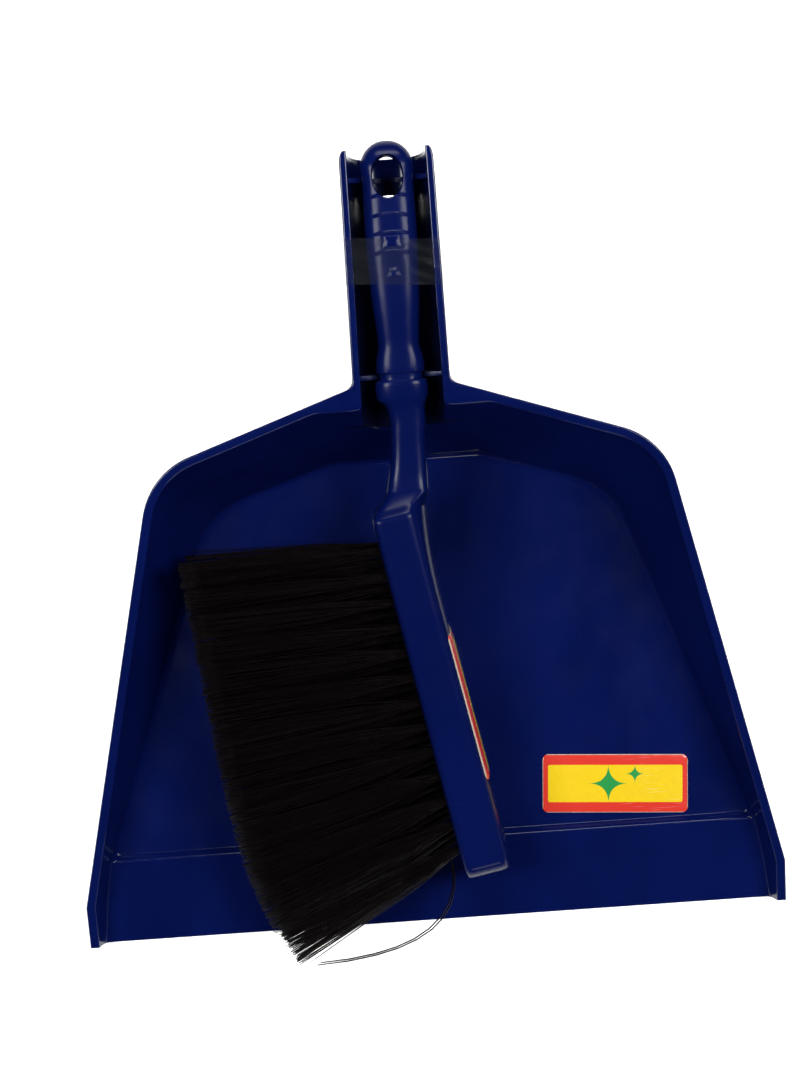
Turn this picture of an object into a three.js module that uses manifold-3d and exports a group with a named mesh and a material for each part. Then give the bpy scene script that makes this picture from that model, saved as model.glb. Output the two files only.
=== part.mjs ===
// A dust pan and its hand brush. The brush lies on its side in the pan, with its handle in the pan's hollow
// handle, and a band of clear tape holds it there.
// Millimetres, +Z up. The origin is on the underside plane, at the middle of the pan's length and width.
// +Y runs from the lip to the end of the handle, and +X is to the right, seen from above with the lip nearest.
import * as THREE from "three";
import { mergeVertices } from "three/addons/utils/BufferGeometryUtils.js";
import Module from "manifold-3d";

const wasm = await Module();
wasm.setup();

// ---- Driving dimensions ----

const PAN_LENGTH = 320;
const LIP_WIDTH = 299;
const WALL = 2;
const CLEARANCE = 0.3;

const LIP_Y = -PAN_LENGTH / 2;
const HANDLE_END_Y = PAN_LENGTH / 2;

// The rim is a narrow flange round the tray, in a plane that rises towards the back.
const RIM = { width: 3.7, thickness: 2, hem: 5, hemWall: 1.6, backHeight: 57, slope: 0.2108 };
const LIP_CORNER_Y = -142;
const SHOULDER = { x: 104.6, y: 39.4, radius: 32 };
const BACK_WALL_Y = 58.7;

// The floor's edge, where the drafted walls start, and the ramp in front of it.
const FLOOR_LIP_X = 144.5;
const RIDGE = { x: 139, y: -126, stepY: -122.2, crestY: -124.6, height: 5, lipThickness: 1.5 };
const FLOOR_SHOULDER = { x: 87.7, y: 22.6, radius: 36 };
const FLOOR_BACK = { x: 32, y: 40.5, radius: 15 };
const WALL_ON_PLAN = 2.1;

// The hollow handle: a U channel, open on top and at its end, with a small flange along both sides.
const CHANNEL = {
  rootHalf: 19.6,
  endHalf: 18.7,
  rootY: 68,
  slope: 0.1405,
  flange: 3.1,
  flangeThickness: 2.2,
  depth: 21,
  roundness: 3,
};
const CRADLE = { ys: [72, 149.8], halfWidths: [9.4, 10.9], thickness: 2, below: 4, hookSlot: 6.5 };
const PAN_HOLE = { y: 141.5, halfWidth: 5, halfLength: 6 };

// The brush, along its own axis from the tip of the handle.
const BRUSH = { tipY: 164.5, tipZ: 64.9, tilt: Math.atan(CHANNEL.slope) };
const DOME = { halfWidth: 10.7, halfThickness: 9 };
const BRUSH_HOLE = { s: 14.3, halfWidth: 6, halfLength: 8.3 };
const HEAD = {
  corner: new THREE.Vector2(-15.8, -150),
  angle: THREE.MathUtils.degToRad(10.54),
  length: 149.7,
  half: 8.6,
  widening: 0.8,
  halfThickness: 15,
  roundness: 7,
  crown: 0.16,
  shoulder: 0.45,
  shoulderLength: 40,
  endBulge: 8.3,
};

const TUFT = {
  perRow: 13,
  firstAt: 14,
  pitch: 10.75,
  rowSpacing: 8.6,
  length: 82,
  lengthening: 9,
  rootRadius: 1.8,
  socketRadius: 2.25,
  socketDepth: 11.5,
  rootDepth: 10,
  tipGap: 0.15,
  tipThickness: 5.1,
  tipRowSpacing: 10.7,
  fanStart: THREE.MathUtils.degToRad(-8),
  fanSpread: THREE.MathUtils.degToRad(24),
  fanPower: 2.5,
};

const LABEL = { length: 63, width: 25.3, radius: 2.6, thickness: 0.5 };
const PAN_LABEL = { x: 80.7, y: -106.3, turn: THREE.MathUtils.degToRad(-3.9) };
const BRUSH_LABEL_AT = 85;

const TAPE = { y: 117.2, width: 18.2, thickness: 0.4, flap: 8.5, crownHalf: 4, skew: 0.07 };

// How square the brush handle's section is: 2 would be an ellipse.
const ROUNDNESS = 3.2;

const ARC_STEPS = 10;
const SECTION_POINTS = 28;

// ---- Materials ----

function plastic(color, roughness) {
  return new THREE.MeshStandardMaterial({ color, roughness, metalness: 0 });
}

const BLUE = plastic(0x0b1c8c, 0.3);
const BRISTLE = plastic(0x17110f, 0.6);
const STICKER = plastic(0xe8c21e, 0.35);
const CLEAR_TAPE = new THREE.MeshStandardMaterial({
  color: 0xb9bcc6,
  roughness: 0.2,
  metalness: 0,
  transparent: true,
  opacity: 0.4,
});

// ---- Solids ----

// A closed triangle mesh as a solid, turned the right way out.
function toSolid(geometry) {
  const bare = geometry.clone();
  bare.deleteAttribute("normal");
  bare.deleteAttribute("uv");
  const merged = mergeVertices(bare, 1e-4);
  const vertProperties = new Float32Array(merged.attributes.position.array);
  const build = (triVerts) => new wasm.Manifold(new wasm.Mesh({ numProp: 3, vertProperties, triVerts }));
  const made = build(new Uint32Array(merged.index.array));
  if (made.volume() > 0) return made;
  return build(new Uint32Array(merged.index.array).reverse());
}

function toMesh(name, solid, material) {
  const { vertProperties, triVerts, numProp } = solid.getMesh();
  const geometry = new THREE.BufferGeometry();
  const positions = new Float32Array((vertProperties.length / numProp) * 3);
  for (let i = 0; i < positions.length / 3; i += 1) {
    positions.set(vertProperties.subarray(i * numProp, i * numProp + 3), i * 3);
  }
  geometry.setAttribute("position", new THREE.BufferAttribute(positions, 3));
  geometry.setIndex(new THREE.BufferAttribute(new Uint32Array(triVerts), 1));
  geometry.computeVertexNormals();
  const mesh = new THREE.Mesh(geometry, material);
  mesh.name = name;
  return mesh;
}

// Triangles across a flat ring of points, wound the same way as the ring.
function capTriangles(ring) {
  const normal = new THREE.Vector3();
  ring.forEach((p, i) => normal.add(new THREE.Vector3().crossVectors(p, ring[(i + 1) % ring.length])));
  const sizes = normal.toArray().map(Math.abs);
  const dropped = sizes.indexOf(Math.max(...sizes));
  const flat = ring.map((p) => new THREE.Vector2(...p.toArray().filter((_, k) => k !== dropped)));
  const turnsLeft = THREE.ShapeUtils.area(flat) > 0;
  return THREE.ShapeUtils.triangulateShape(flat, []).map(([a, b, c]) => {
    const left = THREE.ShapeUtils.area([flat[a], flat[b], flat[c]]) > 0;
    return left === turnsLeft ? [a, b, c] : [a, c, b];
  });
}

// A solid skinned over rings of points, closed at both ends. Every ring has the same number of points.
function loft(rings) {
  const count = rings[0].length;
  const indices = [];
  for (let r = 0; r + 1 < rings.length; r += 1) {
    for (let i = 0; i < count; i += 1) {
      const a = r * count + i;
      const b = r * count + ((i + 1) % count);
      indices.push(a, b, b + count, a, b + count, a + count);
    }
  }
  const last = (rings.length - 1) * count;
  capTriangles(rings[0]).forEach(([a, b, c]) => indices.push(c, b, a));
  capTriangles(rings.at(-1)).forEach(([a, b, c]) => indices.push(last + a, last + b, last + c));
  const geometry = new THREE.BufferGeometry().setFromPoints(rings.flat());
  geometry.setIndex(indices);
  return toSolid(geometry);
}

// ---- Outlines on plan ----

// Corners from the lip to the back on the right side, followed by the same corners on the left.
function mirrored(half) {
  const left = half.map((c) => ({ ...c, x: -c.x })).reverse();
  return [...half, ...left];
}

// Moves every side of an outline outwards, and the front edge, which closes it, by its own distance.
function grown(corners, distance, front = 0) {
  const count = corners.length;
  const sides = corners.map((c, i) => {
    const next = corners[(i + 1) % count];
    const along = new THREE.Vector2(next.x - c.x, next.y - c.y).normalize();
    const out = new THREE.Vector2(along.y, -along.x);
    const shift = i === count - 1 ? front : distance;
    return { along, from: new THREE.Vector2(c.x, c.y).addScaledVector(out, shift) };
  });
  return corners.map((c, i) => {
    const before = sides[(i + count - 1) % count];
    const after = sides[i];
    const gap = after.from.clone().sub(before.from);
    const travel = gap.cross(after.along) / before.along.cross(after.along);
    const at = before.from.clone().addScaledVector(before.along, travel);
    return { ...c, x: at.x, y: at.y, radius: c.radius ? c.radius + distance : 0 };
  });
}

function cornerArc(before, corner, after) {
  const here = new THREE.Vector2(corner.x, corner.y);
  const back = new THREE.Vector2(before.x, before.y).sub(here).normalize();
  const on = new THREE.Vector2(after.x, after.y).sub(here).normalize();
  const half = Math.acos(back.dot(on)) / 2;
  const reach = corner.radius / Math.tan(half);
  const middle = back.clone().add(on).normalize();
  const centre = here.clone().addScaledVector(middle, corner.radius / Math.sin(half));
  const start = here.clone().addScaledVector(back, reach).sub(centre).angle();
  const end = here.clone().addScaledVector(on, reach).sub(centre).angle();
  const sweep = THREE.MathUtils.euclideanModulo(end - start + Math.PI, 2 * Math.PI) - Math.PI;
  return Array.from({ length: ARC_STEPS + 1 }, (_, k) => {
    const angle = start + (sweep * k) / ARC_STEPS;
    const spoke = new THREE.Vector2(Math.cos(angle), Math.sin(angle)).multiplyScalar(corner.radius);
    return centre.clone().add(spoke);
  });
}

function outline(corners) {
  const count = corners.length;
  return corners.flatMap((corner, i) => {
    if (!corner.radius) return [new THREE.Vector2(corner.x, corner.y)];
    return cornerArc(corners[(i + count - 1) % count], corner, corners[(i + 1) % count]);
  });
}

function ring(corners, heightAt) {
  return outline(corners).map((p) => new THREE.Vector3(p.x, p.y, heightAt(p.y)));
}

// A plate of the given outline between two heights, each a function of y.
function prism(corners, lowAt, highAt) {
  return loft([ring(corners, lowAt), ring(corners, highAt)]);
}

// A bar along X whose section is a polygon of [y, z] points.
function barAlongX(section, halfLength) {
  return loft([-halfLength, halfLength].map((x) => section.map(([y, z]) => new THREE.Vector3(x, y, z))));
}

// ---- The dust pan ----

const rimHeight = (y) => RIM.backHeight - (BACK_WALL_Y - y) * RIM.slope;
const topHeight = (y) => {
  if (y < CHANNEL.rootY) return rimHeight(y);
  return rimHeight(CHANNEL.rootY) + (y - CHANNEL.rootY) * CHANNEL.slope;
};

const RIM_CORNERS = mirrored([
  { x: LIP_WIDTH / 2, y: LIP_Y },
  { x: LIP_WIDTH / 2, y: LIP_CORNER_Y },
  SHOULDER,
  { x: CHANNEL.rootHalf, y: CHANNEL.rootY },
]);
const FLOOR_CORNERS = mirrored([
  { x: FLOOR_LIP_X, y: LIP_Y },
  { x: RIDGE.x, y: RIDGE.y },
  FLOOR_SHOULDER,
  FLOOR_BACK,
]);
const WALL_TOP_CORNERS = wallTopCorners();

// The inner edge of the rim, cut straight across the back.
function wallTopCorners() {
  const [lip, side, shoulder, root] = grown(RIM_CORNERS, -RIM.width);
  const along = (BACK_WALL_Y - shoulder.y) / (root.y - shoulder.y);
  const back = { x: shoulder.x + (root.x - shoulder.x) * along, y: BACK_WALL_Y, radius: FLOOR_BACK.radius };
  return mirrored([lip, side, shoulder, back]);
}

function trayOutside() {
  const foot = ring(grown(FLOOR_CORNERS, WALL_ON_PLAN), () => 0);
  const top = ring(grown(WALL_TOP_CORNERS, WALL_ON_PLAN), rimHeight);
  return loft([foot, top]);
}

function rimFlange() {
  const plate = prism(RIM_CORNERS, (y) => rimHeight(y) - RIM.hem, rimHeight);
  const inside = grown(RIM_CORNERS, -RIM.hemWall, -RIM.hemWall);
  const hollow = prism(inside, (y) => rimHeight(y) - 2 * RIM.hem, (y) => rimHeight(y) - RIM.thickness);
  return plate.subtract(hollow);
}

// The space above the floor, between the walls, running out past the lip.
function trayInside() {
  const pastLip = 15;
  const aboveRim = 12;
  const foot = ring(grown(FLOOR_CORNERS, 0, pastLip), () => WALL);
  const top = grown(WALL_TOP_CORNERS, 0, pastLip);
  const space = loft([foot, ring(top, rimHeight), ring(top, (y) => rimHeight(y) + aboveRim)]);
  const lipTop = RIDGE.lipThickness;
  const slope = (RIDGE.height - lipTop) / (RIDGE.crestY - LIP_Y);
  const ramp = barAlongX(
    [
      [RIDGE.stepY, -WALL],
      [RIDGE.stepY, WALL],
      [RIDGE.crestY, RIDGE.height],
      [LIP_Y - 2 * pastLip, lipTop - 2 * pastLip * slope],
      [LIP_Y - 2 * pastLip, -WALL],
    ],
    LIP_WIDTH,
  );
  return space.subtract(ramp);
}

// The hollow under the ramp, so that the ramp is as thin as the floor.
function rampUnderside() {
  const skin = 2.3;
  const section = [
    [RIDGE.stepY - WALL, -WALL],
    [RIDGE.stepY - WALL, 0],
    [RIDGE.crestY - WALL, RIDGE.height - skin],
    [LIP_Y + 8, 0],
    [LIP_Y + 8, -WALL],
  ];
  return barAlongX(section.reverse(), RIDGE.x - 4);
}

// Half the channel's width inside, at its top.
function channelHalf(y) {
  const along = (y - CHANNEL.rootY) / (HANDLE_END_Y - CHANNEL.rootY);
  return THREE.MathUtils.lerp(CHANNEL.rootHalf, CHANNEL.endHalf, along) - CHANNEL.flange;
}

// A U section at one place along the handle: straight above, rounded below, and closed over at a height.
function channelRing(y, extra, above) {
  const half = channelHalf(y) + extra;
  const depth = CHANNEL.depth + extra;
  const top = topHeight(y);
  const points = [new THREE.Vector3(half, y, top + above)];
  const steps = 18;
  for (let k = 1; k < steps; k += 1) {
    const angle = (Math.PI * k) / steps;
    const x = half * Math.sign(Math.cos(angle)) * Math.abs(Math.cos(angle)) ** (2 / CHANNEL.roundness);
    const z = -depth * Math.sin(angle) ** (2 / CHANNEL.roundness);
    points.push(new THREE.Vector3(x, y, top + z));
  }
  points.push(new THREE.Vector3(-half, y, top + above));
  return points;
}

function channelOutside() {
  const start = BACK_WALL_Y - 8;
  return loft([start, CHANNEL.rootY, HANDLE_END_Y].map((y) => channelRing(y, WALL, 0)));
}

function channelInside() {
  const start = BACK_WALL_Y - 15;
  const past = HANDLE_END_Y + 5;
  return loft([start, CHANNEL.rootY, past].map((y) => channelRing(y, 0, 10)));
}

function handleFlange() {
  const start = BACK_WALL_Y + 1;
  const corners = mirrored([
    { x: CHANNEL.rootHalf, y: start },
    { x: CHANNEL.rootHalf, y: CHANNEL.rootY },
    { x: CHANNEL.endHalf, y: HANDLE_END_Y, radius: 5 },
  ]);
  return prism(corners, (y) => topHeight(y) - CHANNEL.flangeThickness, topHeight);
}

// A cross rib in the channel, square to the brush's handle, which it holds.
function cradleRib(y) {
  const middle = BRUSH.tipZ - (BRUSH.tipY - y) * CHANNEL.slope;
  const ends = [-0.5, 0.5].map((side) => {
    const points = channelRing(y + side * CRADLE.thickness, WALL / 2, -CRADLE.below);
    return points.map((p) => p.setY(p.y - (p.z - middle) * CHANNEL.slope));
  });
  return loft(ends);
}

// The U-shaped room for the brush's handle in a cradle, in the brush's own frame.
function cradleRoom(y, halfWidth) {
  const centre = -(BRUSH.tipY - y) / Math.cos(BRUSH.tilt);
  const halfThickness = 9.1 + CLEARANCE;
  const rings = [-4, 4].map((shift) => {
    const points = [new THREE.Vector3(halfWidth, centre + shift, 20)];
    for (let k = 0; k <= 16; k += 1) {
      const angle = (Math.PI * k) / 16;
      const x = halfWidth * Math.sign(Math.cos(angle)) * Math.abs(Math.cos(angle)) ** (2 / ROUNDNESS);
      points.push(new THREE.Vector3(x, centre + shift, -halfThickness * Math.sin(angle) ** (2 / ROUNDNESS)));
    }
    points.push(new THREE.Vector3(-halfWidth, centre + shift, 20));
    return points;
  });
  return loft(rings).transform(brush.matrix.elements);
}

// A slot through the rear cradle, so that a hook can pass through the brush's hanging hole.
function hookRoom() {
  const [, y] = CRADLE.ys;
  const low = topHeight(y) - CHANNEL.depth + 1;
  const slot = new THREE.BoxGeometry(2 * CRADLE.hookSlot, 10, CHANNEL.depth);
  slot.translate(0, y, low + CHANNEL.depth / 2);
  return toSolid(slot);
}

// An oval hole through everything, upright in its own frame.
function ovalPin(y, halfWidth, halfLength) {
  const pin = new THREE.CylinderGeometry(1, 1, 60, 24);
  pin.rotateX(Math.PI / 2);
  pin.scale(halfWidth, halfLength, 1);
  pin.translate(0, y, 0);
  return toSolid(pin);
}

function dustPan() {
  let pan = trayOutside().add(rimFlange()).add(channelOutside()).add(handleFlange());
  pan = pan.subtract(trayInside()).subtract(channelInside()).subtract(rampUnderside());
  CRADLE.ys.forEach((y, i) => {
    pan = pan.add(cradleRib(y).subtract(cradleRoom(y, CRADLE.halfWidths[i])));
  });
  pan = pan.subtract(hookRoom());
  const hole = ovalPin(PAN_HOLE.y, PAN_HOLE.halfWidth, PAN_HOLE.halfLength);
  return pan.subtract(hole.translate([0, 0, topHeight(PAN_HOLE.y) - CHANNEL.depth]));
}

// ---- The hand brush, in its own frame: -Y from the tip of the handle, Z through its thickness ----

const brush = new THREE.Group();
brush.position.set(0, BRUSH.tipY, BRUSH.tipZ);
brush.rotation.x = BRUSH.tilt;
brush.updateMatrix();

const headAlong = new THREE.Vector2(Math.sin(HEAD.angle), -Math.cos(HEAD.angle));
const headAcross = new THREE.Vector2(Math.cos(HEAD.angle), Math.sin(HEAD.angle));

// A point of the head: along from its upper corner, and across from the bristle face to the back.
function headPoint(along, across) {
  return HEAD.corner.clone().addScaledVector(headAlong, along).addScaledVector(headAcross, across);
}

// A superellipse section. The head's back, on its right, is crowned.
function section({ x, y, half, thick, turn = 0, roundness = ROUNDNESS, crown = 0 }) {
  return Array.from({ length: SECTION_POINTS }, (_, k) => {
    const angle = (2 * Math.PI * k) / SECTION_POINTS;
    const power = 2 / roundness;
    const side = Math.sign(Math.cos(angle)) * Math.abs(Math.cos(angle)) ** power;
    const rise = Math.sign(Math.sin(angle)) * Math.abs(Math.sin(angle)) ** power;
    const bulge = side > 0 ? 1 + crown * (1 - rise * rise) : 1;
    const across = half * side * bulge;
    return new THREE.Vector3(x + across * Math.cos(turn), y + across * Math.sin(turn), thick * rise);
  });
}

function domeSections() {
  return [0.2, 0.8, 2, 3.8, 6.2, 8.4].map((s) => {
    const grow = Math.sqrt(1 - ((DOME.halfWidth - s) / DOME.halfWidth) ** 2);
    return { x: 0, y: -s, half: DOME.halfWidth * grow, thick: DOME.halfThickness * grow };
  });
}

// The grip tapers to a collar with a groove, where the front cradle holds it, and a slim neck follows.
function handleSections() {
  const stations = [
    { s: 10.7, half: 10.7, thick: 9 },
    { s: 18, half: 10.2, thick: 9 },
    { s: 38, half: 10.4, thick: 9 },
    { s: 60, half: 9.8, thick: 8.9 },
    { s: 66, half: 9.4, thick: 8.8 },
    { s: 75, half: 8.6, thick: 8.6 },
    { s: 81, half: 8.3, thick: 8.4 },
    { s: 86, half: 9.4, thick: 8.5 },
    { s: 91.6, half: 9.8, thick: 8.6 },
    { s: 91.9, half: 8.8, thick: 8 },
    { s: 94.9, half: 8.8, thick: 8 },
    { s: 95.2, half: 10.3, thick: 8.8 },
    { s: 99, half: 10.7, thick: 8.8 },
    { s: 102.8, half: 10.2, thick: 8.6 },
    { s: 105.2, x: 0.9, half: 7.9, thick: 8, roundness: 3.4 },
    { s: 111.5, x: 1.5, half: 7.3, thick: 7.6, roundness: 3.6 },
    { s: 119, x: 1.1, half: 7, thick: 7.6, roundness: 3.8 },
    { s: 127, x: 0.8, half: 7.3, thick: 7.8, roundness: 4 },
    { s: 134.7, x: 0.1, half: 8, thick: 8.3, roundness: 4.2 },
    { s: 140.4, x: -0.6, half: 8.7, thick: 9.3, turn: 0.06, roundness: 4.6 },
  ];
  return stations.map((station) => ({ x: 0, ...station, y: -station.s }));
}

// Half the head's width, which grows a little towards its far end.
function headHalf(along) {
  return HEAD.half + (HEAD.widening * along) / HEAD.length;
}

// How far the head's back bulges, with a shoulder beside the neck.
function headCrown(along) {
  const near = Math.max(0, 1 - along / HEAD.shoulderLength);
  return HEAD.crown + HEAD.shoulder * near ** 2;
}

function headSections() {
  const at = (along, half, thick, inset = 0) => {
    const centre = headPoint(along, half + inset);
    const shape = { turn: HEAD.angle, roundness: HEAD.roundness, crown: headCrown(along) };
    return { ...shape, x: centre.x, y: centre.y, half, thick };
  };
  const start = [at(-3, 8, 11.6, 3.2), at(0, 8.45, 14.3, 0.2)];
  const alongs = [2.5, 9, 16, 24, 40, 76, 113, HEAD.length];
  const straight = alongs.map((along) => at(along, headHalf(along), HEAD.halfThickness));
  const endHalf = headHalf(HEAD.length);
  const end = [0.35, 0.65, 0.88, 0.99].map((part) => {
    const thick = HEAD.halfThickness * Math.sqrt(1 - part * part);
    const inset = 0.6 * part;
    return at(HEAD.length + HEAD.endBulge * part, endHalf - inset, thick, inset);
  });
  return [...start, ...straight, ...end];
}

// Where each tuft is rooted, and the way that it points. The rows fan out a little towards the tips.
function tuftRoots() {
  const rows = [
    { name: "top", side: 1, count: TUFT.perRow, offset: 0 },
    { name: "middle", side: 0, count: TUFT.perRow - 1, offset: 0.5 },
    { name: "bottom", side: -1, count: TUFT.perRow, offset: 0 },
  ];
  return rows.flatMap((row) => Array.from({ length: row.count }, (_, k) => tuftRoot(row, k)));
}

function tuftRoot(row, k) {
  const part = (k + row.offset) / (TUFT.perRow - 1);
  const fan = TUFT.fanStart + TUFT.fanSpread * part ** TUFT.fanPower;
  const opening = (TUFT.fanSpread * TUFT.fanPower * part ** (TUFT.fanPower - 1)) / (TUFT.perRow - 1);
  const length = TUFT.length + TUFT.lengthening * (part - part ** 10);
  const root = headPoint(TUFT.firstAt + (k + row.offset) * TUFT.pitch, 0);
  const out = headAcross.clone().multiplyScalar(-Math.cos(fan)).addScaledVector(headAlong, Math.sin(fan));
  const lean = ((TUFT.tipRowSpacing - TUFT.rowSpacing) * row.side) / length;
  return {
    name: `tuft_${row.name}_${String(k + 1).padStart(2, "0")}`,
    at: new THREE.Vector3(root.x, root.y, row.side * TUFT.rowSpacing),
    out: new THREE.Vector3(out.x, out.y, lean).normalize(),
    length,
    tipHalf: (TUFT.pitch * Math.cos(fan) + length * opening) / 2 - TUFT.tipGap,
  };
}

function tuftSocket(root) {
  const above = 4;
  const length = TUFT.socketDepth + above;
  const hole = new THREE.CylinderGeometry(TUFT.socketRadius, TUFT.socketRadius, length, 10);
  hole.applyQuaternion(new THREE.Quaternion().setFromUnitVectors(new THREE.Vector3(0, 1, 0), root.out));
  const middle = root.at.clone().addScaledVector(root.out, length / 2 - TUFT.socketDepth);
  hole.translate(middle.x, middle.y, middle.z);
  return toSolid(hole);
}

function brushBody() {
  const rings = [...domeSections(), ...handleSections(), ...headSections()].map(section);
  let body = loft(rings);
  body = body.subtract(ovalPin(-BRUSH_HOLE.s, BRUSH_HOLE.halfWidth, BRUSH_HOLE.halfLength));
  tuftRoots().forEach((root) => {
    body = body.subtract(tuftSocket(root));
  });
  return body;
}

// A bunch of bristles: round in its socket, spreading to a flat-ended brush at the tip.
function tuft(root) {
  const along = new THREE.Vector3(0, 0, 1).cross(root.out).normalize();
  const up = new THREE.Vector3().crossVectors(root.out, along);
  const flare = 6;
  const stations = [
    { d: -TUFT.rootDepth, half: TUFT.rootRadius, thick: TUFT.rootRadius, power: 1 },
    { d: 1, half: TUFT.rootRadius, thick: TUFT.rootRadius, power: 1 },
    { d: flare, half: 2.3, thick: 2.3, power: 1 },
    { d: root.length, half: root.tipHalf, thick: TUFT.tipThickness, power: 0.5 },
  ];
  const points = 10;
  const rings = stations.map(({ d, half, thick, power }) =>
    Array.from({ length: points }, (_, k) => {
      const angle = (2 * Math.PI * (k + 0.5)) / points;
      const a = Math.sign(Math.cos(angle)) * Math.abs(Math.cos(angle)) ** power;
      const b = Math.sign(Math.sin(angle)) * Math.abs(Math.sin(angle)) ** power;
      const middle = root.at.clone().addScaledVector(root.out, d);
      return middle.addScaledVector(along, half * a).addScaledVector(up, thick * b);
    }),
  );
  return loft(rings);
}

// ---- Labels and tape ----

function labelShape() {
  const x = LABEL.length / 2;
  const y = LABEL.width / 2;
  const r = LABEL.radius;
  const shape = new THREE.Shape();
  shape.moveTo(-x + r, -y);
  shape.lineTo(x - r, -y);
  shape.absarc(x - r, -y + r, r, -Math.PI / 2, 0);
  shape.lineTo(x, y - r);
  shape.absarc(x - r, y - r, r, 0, Math.PI / 2);
  shape.lineTo(-x + r, y);
  shape.absarc(-x + r, y - r, r, Math.PI / 2, Math.PI);
  shape.lineTo(-x, -y + r);
  shape.absarc(-x + r, -y + r, r, Math.PI, (3 * Math.PI) / 2);
  return shape;
}

function labelPlate(depth) {
  return new THREE.ExtrudeGeometry(labelShape(), { depth, bevelEnabled: false, curveSegments: 5 });
}

function panLabel() {
  const mesh = toMesh("pan_label", toSolid(labelPlate(LABEL.thickness)), STICKER);
  mesh.position.set(PAN_LABEL.x, PAN_LABEL.y, WALL + CLEARANCE);
  mesh.rotation.z = PAN_LABEL.turn;
  return mesh;
}

// The distance of the head's crowned back from the bristle face, at a height across its thickness.
function backAt(along, height) {
  const rise = Math.abs(height) / HEAD.halfThickness;
  const side = (1 - rise ** HEAD.roundness) ** (1 / HEAD.roundness);
  return headHalf(along) * (1 + side * (1 + HEAD.crown * (1 - rise * rise)));
}

// A label bent over the crowned back of the head.
function brushLabel() {
  const low = CLEARANCE;
  const high = CLEARANCE + LABEL.thickness;
  const heights = Array.from({ length: 9 }, (_, k) => (k / 8 - 0.5) * (LABEL.width + 2));
  const rings = [-0.6, 0.6].map((end) => {
    const along = BRUSH_LABEL_AT + end * LABEL.length;
    const point = (height, lift) => {
      const p = headPoint(along, backAt(along, height) + lift);
      return new THREE.Vector3(p.x, p.y, height);
    };
    return [...heights.map((h) => point(h, high)), ...heights.map((h) => point(h, low)).reverse()];
  });
  const plate = labelPlate(30);
  const centre = headPoint(BRUSH_LABEL_AT, HEAD.half);
  const along = new THREE.Vector3(headAlong.x, headAlong.y, 0);
  const across = new THREE.Vector3(headAcross.x, headAcross.y, 0);
  const up = new THREE.Vector3().crossVectors(across, along);
  plate.applyMatrix4(new THREE.Matrix4().makeBasis(along, up, across));
  plate.translate(centre.x, centre.y, 0);
  return toMesh("brush_label", loft(rings).intersect(toSolid(plate)), STICKER);
}

// A band over the brush's handle and both flanges, with its ends turned down outside the handle.
function packingTape() {
  const centre = -(BRUSH.tipY - TAPE.y) / Math.cos(BRUSH.tilt);
  const brushHeight = BRUSH.tipZ - (BRUSH.tipY - TAPE.y) * CHANNEL.slope;
  const flange = (topHeight(TAPE.y) - brushHeight) * Math.cos(BRUSH.tilt) + CLEARANCE;
  const crown = DOME.halfThickness + CLEARANCE;
  const side = channelHalf(TAPE.y - TAPE.width) + CHANNEL.flange + CLEARANCE;
  const t = TAPE.thickness;
  const inner = [
    [side, flange - TAPE.flap],
    [side, flange],
    [TAPE.crownHalf, crown],
  ];
  const outer = [
    [side + t, flange - TAPE.flap],
    [side + t, flange + t],
    [TAPE.crownHalf, crown + t],
  ];
  const flip = (points) => points.map(([x, z]) => [-x, z]).reverse();
  const loop = [...outer, ...flip(outer), ...flip(inner).reverse(), ...inner.slice().reverse()];
  const rings = [-0.5, 0.5].map((end) =>
    loop.map(([x, z]) => new THREE.Vector3(x, centre + end * TAPE.width - TAPE.skew * x, z)),
  );
  return toMesh("packing_tape", loft(rings), CLEAR_TAPE);
}

// ---- Assembly ----

const group = new THREE.Group();
group.add(toMesh("dust_pan", dustPan(), BLUE));
group.add(panLabel());
brush.add(toMesh("brush_body", brushBody(), BLUE));
tuftRoots().forEach((root) => brush.add(toMesh(root.name, tuft(root), BRISTLE)));
brush.add(brushLabel());
brush.add(packingTape());
group.add(brush);

export default group;
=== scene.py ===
import random
from math import acos, asin, atan, atan2, copysign, cos, exp, pi, radians, sin, sqrt, tan

import bmesh
import bpy
import numpy as np
from mathutils import Matrix, Vector


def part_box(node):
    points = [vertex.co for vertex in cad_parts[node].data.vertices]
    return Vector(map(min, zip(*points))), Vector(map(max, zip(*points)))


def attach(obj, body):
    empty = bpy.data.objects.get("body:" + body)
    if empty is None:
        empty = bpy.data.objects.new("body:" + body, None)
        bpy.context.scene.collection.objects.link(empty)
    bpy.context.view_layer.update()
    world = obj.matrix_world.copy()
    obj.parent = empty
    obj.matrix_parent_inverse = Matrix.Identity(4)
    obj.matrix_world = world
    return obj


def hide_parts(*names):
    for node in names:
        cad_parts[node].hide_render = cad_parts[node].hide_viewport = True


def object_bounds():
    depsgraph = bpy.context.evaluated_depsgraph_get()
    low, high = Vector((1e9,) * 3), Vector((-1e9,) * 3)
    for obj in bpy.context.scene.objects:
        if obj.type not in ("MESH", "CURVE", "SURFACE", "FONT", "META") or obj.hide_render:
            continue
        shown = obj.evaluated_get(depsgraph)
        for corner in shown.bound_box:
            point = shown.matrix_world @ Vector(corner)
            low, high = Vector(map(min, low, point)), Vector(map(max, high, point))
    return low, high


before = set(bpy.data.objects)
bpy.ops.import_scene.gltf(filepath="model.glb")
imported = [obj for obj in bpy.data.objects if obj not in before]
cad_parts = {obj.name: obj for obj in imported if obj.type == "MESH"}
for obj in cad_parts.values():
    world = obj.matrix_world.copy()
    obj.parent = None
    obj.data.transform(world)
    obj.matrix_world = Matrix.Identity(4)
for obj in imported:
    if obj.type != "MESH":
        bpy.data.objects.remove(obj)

# A dust pan with its hand brush lying in it, held by a band of clear tape.
# Lengths are in millimetres, as in the CAD source, and MM turns them into metres where a mesh is made.
MM = 0.001

CAD_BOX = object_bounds()


def box_mm(node):
    low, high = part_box(node)
    return low / MM, high / MM


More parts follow.
